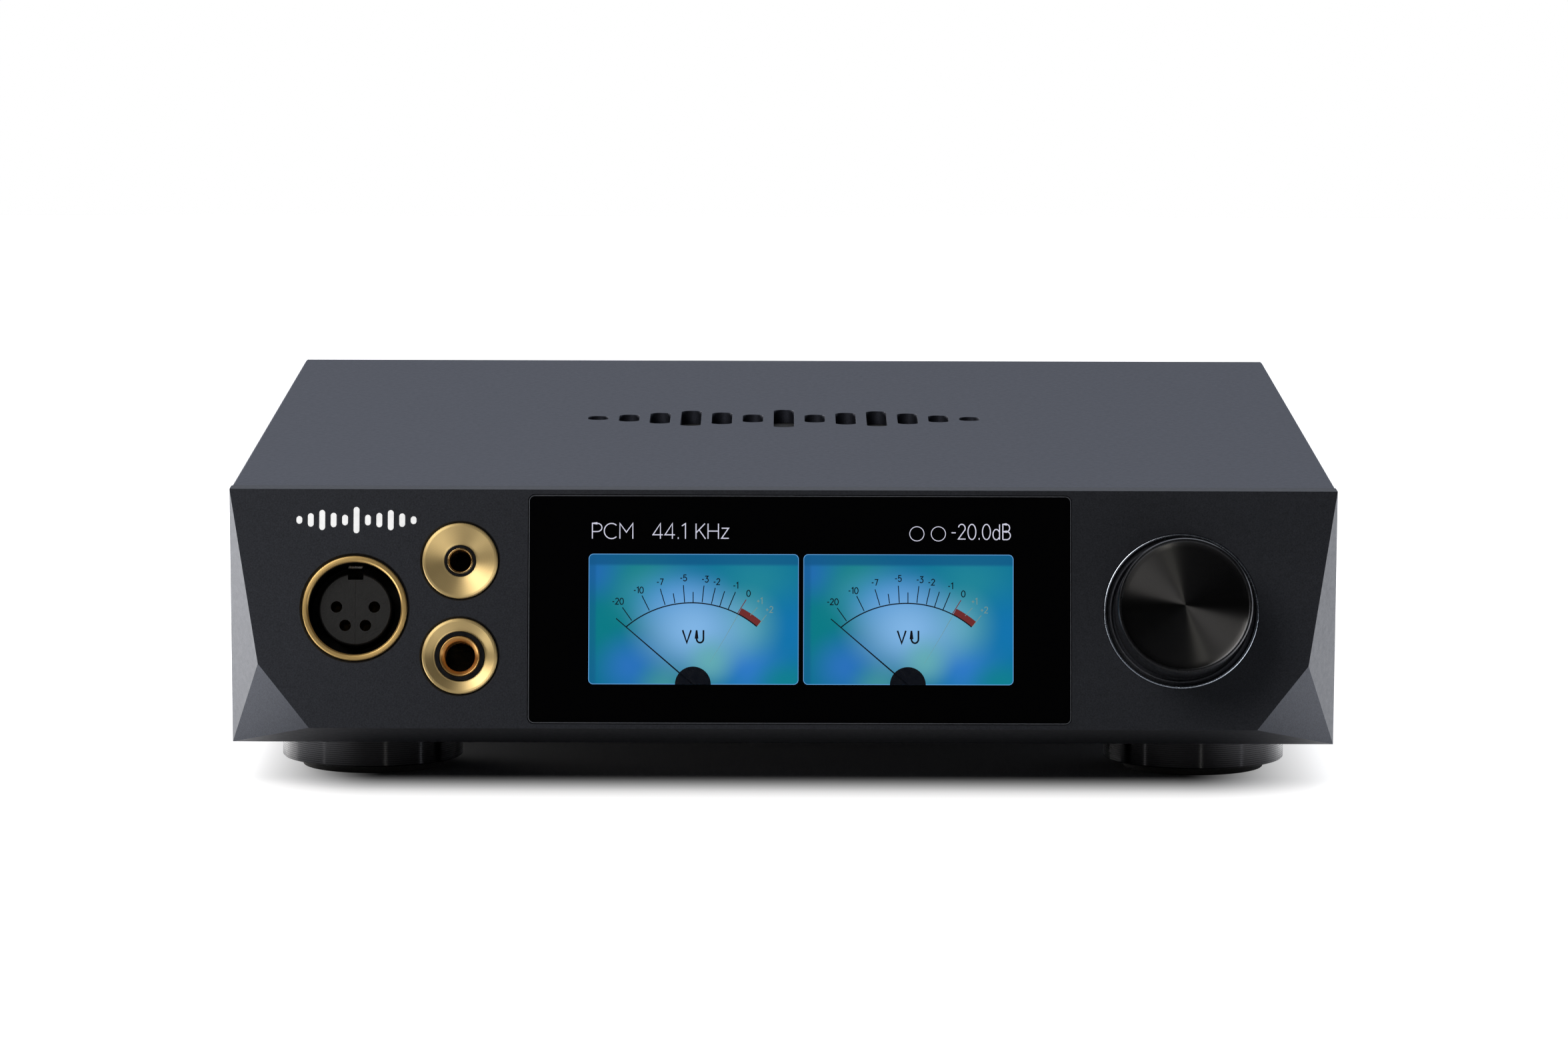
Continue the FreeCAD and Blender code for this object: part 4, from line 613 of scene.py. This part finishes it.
def dial_light(name, x0, s0, w, hgt):
    """The dial's backlight: a calm field of blue, teal and pale patches with a
    shaded top and left edge, worked out from the place on the face."""
    m = Mat(name, (0.004, 0.008, 0.010, 1), 0.0, 0.12)
    sep = m.node("ShaderNodeSeparateXYZ")
    m.link(m.coords("Object"), sep.inputs[0])

    def maprange(sock, a, b, c=0.0, d=1.0, smooth=True):
        r = m.node("ShaderNodeMapRange")
        r.interpolation_type = "SMOOTHSTEP" if smooth else "LINEAR"
        for k, v in (("From Min", a), ("From Max", b), ("To Min", c), ("To Max", d)):
            r.inputs[k].default_value = v
        m.link(sock, r.inputs["Value"])
        return r.outputs["Result"]

    def mix(fac, a, b, mode="MIX"):
        x = m.node("ShaderNodeMix", data_type="RGBA", blend_type=mode)
        x.clamp_factor = True
        m.link(fac, x.inputs[0])
        for sock, v in ((x.inputs[6], a), (x.inputs[7], b)):
            if isinstance(v, tuple):
                sock.default_value = v
            else:
                m.link(v, sock)
        return x.outputs[2]

    def blob(px, py, rx, ry, colour, amount, under):
        """px, py as shares of the dial from its top left."""
        mp = m.node("ShaderNodeMapping")
        mp.vector_type = "TEXTURE"
        mp.inputs["Location"].default_value = ((x0 + px * w) * MM, -(s0 + py * hgt) * MM, 0)
        mp.inputs["Scale"].default_value = (rx * w * MM, ry * hgt * MM, 1000.0)
        m.link(m.coords("Object"), mp.inputs["Vector"])
        ln = m.node("ShaderNodeVectorMath", operation="LENGTH")
        m.link(mp.outputs[0], ln.inputs[0])
        return mix(maprange(ln.outputs["Value"], 0.0, 1.0, amount, 0.0), under, colour)

    c = srgb(10, 118, 154)
    col = mix(maprange(sep.outputs["X"], x0 * MM, (x0 + w) * MM), srgb(6, 112, 146), c)
    for spec in (
        (0.08, 0.55, 0.30, 0.55, srgb(6, 124, 136), 1.0),
        (0.05, 0.15, 0.22, 0.28, srgb(34, 108, 182), 0.9),
        (0.26, 0.25, 0.26, 0.45, srgb(34, 140, 138), 0.9),
        (0.80, 0.22, 0.30, 0.40, srgb(32, 136, 156), 0.9),
        (0.98, 0.60, 0.25, 0.50, srgb(16, 118, 180), 0.9),
        (0.20, 0.86, 0.22, 0.34, srgb(42, 116, 192), 1.0),
        (0.76, 0.86, 0.24, 0.36, srgb(46, 124, 202), 1.0),
        (0.94, 0.98, 0.20, 0.22, srgb(12, 130, 146), 0.9),
        (0.36, 1.02, 0.18, 0.26, srgb(68, 150, 160), 0.9),
        (0.42, 0.35, 0.34, 0.34, srgb(78, 150, 218), 0.85),
        (0.74, 0.55, 0.22, 0.36, srgb(92, 170, 186), 0.85),
        (0.50, 0.58, 0.36, 0.46, srgb(132, 186, 236), 1.0),
        (0.58, 0.82, 0.16, 0.26, srgb(104, 180, 182), 0.8),
    ):
        col = blob(*spec, col)
    # shaded inner edges: top and left
    top = maprange(sep.outputs["Y"], -(s0 + 2.75) * MM, -(s0 + 1.9) * MM, 0.0, 0.72)
    col = mix(top, col, srgb(14, 84, 134))
    left = maprange(sep.outputs["X"], (x0 + 1.1) * MM, (x0 + 1.9) * MM, 0.5, 0.0)
    col = mix(left, col, srgb(18, 88, 140))
    m.link(col, m.b.inputs["Emission Color"])
    m.b.inputs["Emission Strength"].default_value = 0.92
    m.vary_rough(m.noise(900.0, 2.0), 0.02)
    return m


S_OF = lambda cy: 13.45 + ((cy / 1.782 + 710) - 831.5) * 0.13976
X_OF = lambda cx: (cx / 1.782 + 760 - 1175.3) * 0.13934

TICKS = [((310, 360), (335, 395)), ((362, 328), (382, 368)), ((411, 310), (424, 353)), ((446, 322), (450, 348)),
         ((473, 300), (476, 346)), ((499, 318), (499, 346)), ((528, 301), (523, 346)), ((558, 307), (548, 350)),
         ((583, 316), (570, 357)), ((612, 318), (592, 366))]
HOT_TICKS = [((641, 338), (618, 375)), ((671, 359), (652, 380)), ((695, 379), (672, 408))]
LABELS = [("-20", 298, 344), ("-10", 353, 314), ("-7", 410, 292), ("-5", 473, 281), ("-3", 531, 284),
          ("-2", 562, 291), ("-1", 613, 301), ("0", 647, 322)]
HOT_LABELS = [("+1", 677, 342), ("+2", 703, 365)]

for side, dx in (("left", 0.0), ("right", 44.9)):
    x0, s0, w, hgt = -40.7 + dx, 13.45, 43.9, 27.35
    face = Flat("dial_%s_light" % side, dial_light("dial_light_" + side, x0, s0, w, hgt), 0.0, 0.010)
    face.outline(rounded_rect(x0, -s0 - hgt, x0 + w, -s0, 1.0))
    face.done()
    rim = Flat("dial_%s_rim" % side, RIM, 0.0, 0.014)
    rim.band(rounded_rect(x0, -s0 - hgt, x0 + w, -s0, 1.0),
             rounded_rect(x0 + 0.13, -s0 - hgt + 0.13, x0 + w - 0.13, -s0 - 0.13, 0.87))
    rim.done()
    ink = Flat("dial_%s_scale" % side, INK, 0.004, 0.018)
    cx, cs, r = -19.1 + dx, 44.8, 21.1
    ink.stroke(arc_points(cx, -cs, r, 130.5, 50.0, 48), 0.24)
    for a, b in TICKS:
        ink.stroke([(X_OF(a[0]) + dx, -S_OF(a[1])), (X_OF(b[0]) + dx, -S_OF(b[1]))], 0.19)
    for text, px, py in LABELS:
        write(ink, text, X_OF(px) + dx, -S_OF(py) - 0.62, 1.3, 0.20, middle=True)
    write(ink, "VU", -18.75 + dx, -32.05, 2.62, 0.36, middle=True, width=4.7, spacing=0.30)
    # needle and its hub
    ink.stroke([(-34.95 + dx, -27.0), (-26.9 + dx, -33.9), (-18.85 + dx, -40.8)], 0.2, taper=0.32)
    hub = arc_points(-18.85 + dx, -40.8, 3.75, 180, 0, 36)
    ink.outline(list(reversed(hub)))
    ink.done()
    hot = Flat("dial_%s_hot_marks" % side, FAINT, 0.004, 0.017)
    for a, b in HOT_TICKS[1:]:
        hot.stroke([(X_OF(a[0]) + dx, -S_OF(a[1])), (X_OF(b[0]) + dx, -S_OF(b[1]))], 0.13)
    for text, px, py in HOT_LABELS:
        write(hot, text, X_OF(px) + dx, -S_OF(py) - 0.62, 1.3, 0.17, middle=True)
    hot.stroke([(-9.45 + dx, -26.2), (-12.3 + dx, -31.2), (-15.4 + dx, -36.3)], 0.11, taper=0.02)
    hot.done()
    red = Flat("dial_%s_red_band" % side, RED, 0.004, 0.016)
    inner = arc_points(cx, -cs, r + 0.02, 62.6, 50.0, 16)
    outer = arc_points(cx, -cs, r + 1.45, 50.0, 62.6, 16)
    red.outline(inner + outer)
    a, b = HOT_TICKS[0]
    red.stroke([(X_OF(a[0]) + dx, -S_OF(a[1])), (X_OF(b[0]) + dx, -S_OF(b[1]))], 0.17)
    red.done()

read = Flat("readouts", PALE, 0.0, 0.014)
write(read, "PCM", -40.2, -10.27, 3.2, 0.22, width=8.9)
write(read, "44.1 KHz", -27.4, -10.27, 3.2, 0.22, width=16.1)
write(read, "-20.0dB", 35.0, -10.27, 3.2, 0.22, width=12.6)
for k, px in enumerate((27.9, 32.4)):
    read.stroke(arc_points(px, -9.1, 1.5, 0, 345, 23), 0.16, closed=True)
read.done()

# ---------------------------------------------------------------------------
# Feet: turned and polished, one screw and one pad each
# ---------------------------------------------------------------------------
FX = (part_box("feet")[1].x - 19.3 * MM)
FY0, FY1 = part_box("feet")[0].y + 19.3 * MM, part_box("feet")[1].y - 19.3 * MM
prof = [(2.2, 3.6), (4.6, 3.6), (4.6, 0.0), (18.6, 0.0), (18.95, 0.12)]
rings = 15
for k in range(rings):
    z = 0.40 + k * (6.6 / rings)
    prof += [(19.28, z), (19.28, z + 0.34), (19.23, z + 0.37), (19.23, z + 0.41)]
prof += [(19.2, 7.2), (2.2, 7.2)]
foot_names = []
for k, (x, y) in enumerate(((-FX, FY0), (FX, FY0), (-FX, FY1), (FX, FY1))):
    ob = lathe("foot_made_%d" % k, prof, upright(x, y, 1.9 * MM), [M["foot_gloss_black"]], 160)
    settle(ob, body="case", stands_for=["feet"] if k == 0 else [])
    pad_prof = fillet([(5.5, 0.0), (15.0, 0.0), (15.0, 1.9), (5.5, 1.9)], 0.35, 3, True)
    ob = lathe("foot_pad_made_%d" % k, pad_prof, upright(x, y, 0.0), [M["pad_rubber"]], 96)
    settle(ob, body="case", stands_for=["foot_pads"] if k == 0 else [])

# ---------------------------------------------------------------------------
# Rear connectors and what is inside
# ---------------------------------------------------------------------------
for node, width in (("iec_inlet", 0.4), ("switch_housing", 0.3), ("xlr_out_shells", 0.3), ("usb_port", 0.12),
                    ("optical_port", 0.2), ("optical_shutter", 0.1), ("power_rocker", 0.35), ("fuse_drawer", 0.25),
                    ("rca_jacks", 0.12), ("iec_pins", 0.3), ("xlr_out_pins", 0.25), ("xlr_out_inserts", 0.15),
                    ("amp_heat_sink", 0.2), ("transformer_core", 0.3), ("transformer_winding", 0.8),
                    ("capacitors", 0.5), ("output_relays", 0.4), ("machine_screws", 0.12), ("foot_screws", 0.15)):
    refined(node, None, width, 2)
for node, ob in NODES.items():
    if ob.hide_render:
        continue
    slot_name = next(s["material_slot"] for s in RECORD["subparts"] if s["node"] == node)
    ob.data.materials.clear()
    ob.data.materials.append(M[slot_name].m)

# ---------------------------------------------------------------------------
# Studio
# ---------------------------------------------------------------------------
bm = bmesh.new()
for x, y in ((-0.9, -0.5), (0.9, -0.5), (0.9, 1.3), (-0.9, 1.3)):
    bm.verts.new((x, y, 0))
bm.faces.new(bm.verts)
me = bpy.data.meshes.new("studio_floor")
bm.to_mesh(me)
bm.free()
floor = link(bpy.data.objects.new("studio_floor", me))
FLOOR = Mat("floor_white", (0.44, 0.44, 0.455, 1), 0.0, 0.7)
FLOOR.vary_rough(FLOOR.noise(3.0, 2.0), 0.03)
# the sweep is lit on its own away from the unit
ab = FLOOR.node("ShaderNodeVectorMath", operation="ABSOLUTE")
FLOOR.link(FLOOR.coords("Object"), ab.inputs[0])
sub = FLOOR.node("ShaderNodeVectorMath", operation="SUBTRACT")
sub.inputs[1].default_value = (0.085, 0.103, 0.0)
FLOOR.link(ab.outputs[0], sub.inputs[0])
mx = FLOOR.node("ShaderNodeVectorMath", operation="MAXIMUM")
mx.inputs[1].default_value = (0, 0, 0)
FLOOR.link(sub.outputs[0], mx.inputs[0])
ln = FLOOR.node("ShaderNodeVectorMath", operation="LENGTH")
FLOOR.link(mx.outputs[0], ln.inputs[0])
mr = FLOOR.node("ShaderNodeMapRange", interpolation_type="SMOOTHSTEP")
for k, v in (("From Min", 0.0), ("From Max", 0.040), ("To Min", 0.0), ("To Max", 1.0)):
    mr.inputs[k].default_value = v
FLOOR.link(ln.outputs["Value"], mr.inputs["Value"])
seen = FLOOR.node("ShaderNodeLightPath")
# to the left and right it also lights the facets; in front it stays quiet
axes = FLOOR.node("ShaderNodeSeparateXYZ")
FLOOR.link(FLOOR.coords("Object"), axes.inputs[0])
reach = FLOOR.node("ShaderNodeMath", operation="ABSOLUTE")
FLOOR.link(axes.outputs["X"], reach.inputs[0])
side = FLOOR.node("ShaderNodeMapRange", interpolation_type="SMOOTHSTEP")
for k, v in (("From Min", 0.098), ("From Max", 0.15), ("To Min", 0.15), ("To Max", 3.0)):
    side.inputs[k].default_value = v
FLOOR.link(reach.outputs[0], side.inputs["Value"])
quiet = FLOOR.node("ShaderNodeMapRange", interpolation_type="SMOOTHSTEP")
for k, v in (("From Min", -0.44), ("From Max", 0.04), ("To Min", 0.0), ("To Max", 1.0)):
    quiet.inputs[k].default_value = v
FLOOR.link(axes.outputs["Y"], quiet.inputs["Value"])
sides = FLOOR.node("ShaderNodeMath", operation="MULTIPLY")
FLOOR.link(side.outputs["Result"], sides.inputs[0])
FLOOR.link(quiet.outputs["Result"], sides.inputs[1])
tilt = FLOOR.node("ShaderNodeMapRange", interpolation_type="LINEAR")
for k, v in (("From Min", -0.3), ("From Max", 0.3), ("To Min", 1.32), ("To Max", 1.0)):
    tilt.inputs[k].default_value = v
FLOOR.link(axes.outputs["X"], tilt.inputs["Value"])
leaned = FLOOR.node("ShaderNodeMath", operation="MULTIPLY")
FLOOR.link(sides.outputs[0], leaned.inputs[0])
FLOOR.link(tilt.outputs["Result"], leaned.inputs[1])
either = FLOOR.node("ShaderNodeMapRange", interpolation_type="LINEAR")
either.inputs["To Max"].default_value = 1.0
FLOOR.link(seen.outputs["Is Camera Ray"], either.inputs["Value"])
FLOOR.link(leaned.outputs[0], either.inputs["To Min"])
keep = FLOOR.node("ShaderNodeMath", operation="MULTIPLY")
FLOOR.link(mr.outputs["Result"], keep.inputs[0])
FLOOR.link(either.outputs[0], keep.inputs[1])
FLOOR.link(keep.outputs[0], FLOOR.b.inputs["Emission Strength"])
FLOOR.b.inputs["Emission Color"].default_value = (1, 1, 1, 1)
me.materials.append(FLOOR.m)

world = bpy.data.worlds.new("studio")
bpy.context.scene.world = world
world.use_nodes = True
nt = world.node_tree


def wnode(kind, **props):
    n = nt.nodes.new(kind)
    for k, v in props.items():
        setattr(n, k, v)
    return n


bg = nt.nodes["Background"]
bg.inputs["Color"].default_value = (0.84, 0.89, 1.0, 1)
tc = wnode("ShaderNodeTexCoord")
sep = wnode("ShaderNodeSeparateXYZ")
nt.links.new(tc.outputs["Generated"], sep.inputs[0])
back = wnode("ShaderNodeMapRange", interpolation_type="SMOOTHSTEP")
for k, v in (("From Min", -0.25), ("From Max", 0.75), ("To Min", 0.010), ("To Max", 0.40)):
    back.inputs[k].default_value = v
nt.links.new(sep.outputs["Y"], back.inputs["Value"])
nt.links.new(back.outputs["Result"], bg.inputs["Strength"])
white = wnode("ShaderNodeBackground")
white.inputs["Color"].default_value = (1, 1, 1, 1)
white.inputs["Strength"].default_value = 1.0
lp = wnode("ShaderNodeLightPath")
mixer = wnode("ShaderNodeMixShader")
nt.links.new(lp.outputs["Is Camera Ray"], mixer.inputs[0])
nt.links.new(bg.outputs[0], mixer.inputs[1])
nt.links.new(white.outputs[0], mixer.inputs[2])
nt.links.new(mixer.outputs[0], nt.nodes["World Output"].inputs["Surface"])


def area(name, where, at, size, power, colour=(1, 1, 1)):
    light = bpy.data.lights.new(name, "AREA")
    light.shape = "RECTANGLE"
    light.size, light.size_y = size
    light.energy = power
    light.color = colour
    ob = link(bpy.data.objects.new(name, light))
    ob.location = where
    ob.rotation_euler = (Vector(at) - Vector(where)).to_track_quat("-Z", "Y").to_euler()
    return ob


area("top_soft", (0.0, 1.1, 1.9), (0, 0.25, 0), (2.4, 1.5), 19, (0.90, 0.94, 1.0))
area("left_rear", (-1.15, 0.75, 0.26), (0, 0, 0.03), (0.9, 0.5), 16, (1.0, 0.97, 0.93))
area("right_rear", (1.3, 0.8, 0.3), (0, 0, 0.03), (0.9, 0.5), 4, (0.90, 0.94, 1.0))
area("front_left", (-0.76, -1.16, 1.07), (0.03, -0.12, 0.04), (0.95, 0.9), 14.0, (1.0, 0.97, 0.93))
area("front_strip", (0.20, -0.95, 0.04), (0, -0.1, 0.01), (0.03, 0.07), 0.10, (1.0, 0.98, 0.88))
area("strip_left", (-0.95, -0.55, 0.05), (-0.08, -0.1, 0.01), (0.03, 0.08), 0.16, (1.0, 0.98, 0.95))
area("strip_right", (0.95, -0.55, 0.05), (0.08, -0.1, 0.01), (0.03, 0.08), 0.16, (0.92, 0.95, 1.0))

# ---------------------------------------------------------------------------
# Camera
# ---------------------------------------------------------------------------
cam = bpy.data.cameras.new("camera")
cam.sensor_fit = "HORIZONTAL"
cam.sensor_width = 36.0
cam.lens = 180.6
cam.clip_start, cam.clip_end = 0.05, 60.0
cam_ob = link(bpy.data.objects.new("camera", cam))
cam_ob.location = (0.0001, EDGE_Y - 1.6345, TOP_Z + 0.1959)
pitch, roll = math.radians(7.07), math.radians(0.15)
cam_ob.rotation_euler = (Matrix.Rotation(math.radians(90) - pitch, 3, "X") @ Matrix.Rotation(roll, 3, "Z")).to_euler()
scene = bpy.context.scene
scene.camera = cam_ob
scene.view_settings.view_transform = "Standard"
scene.view_settings.look = "None"
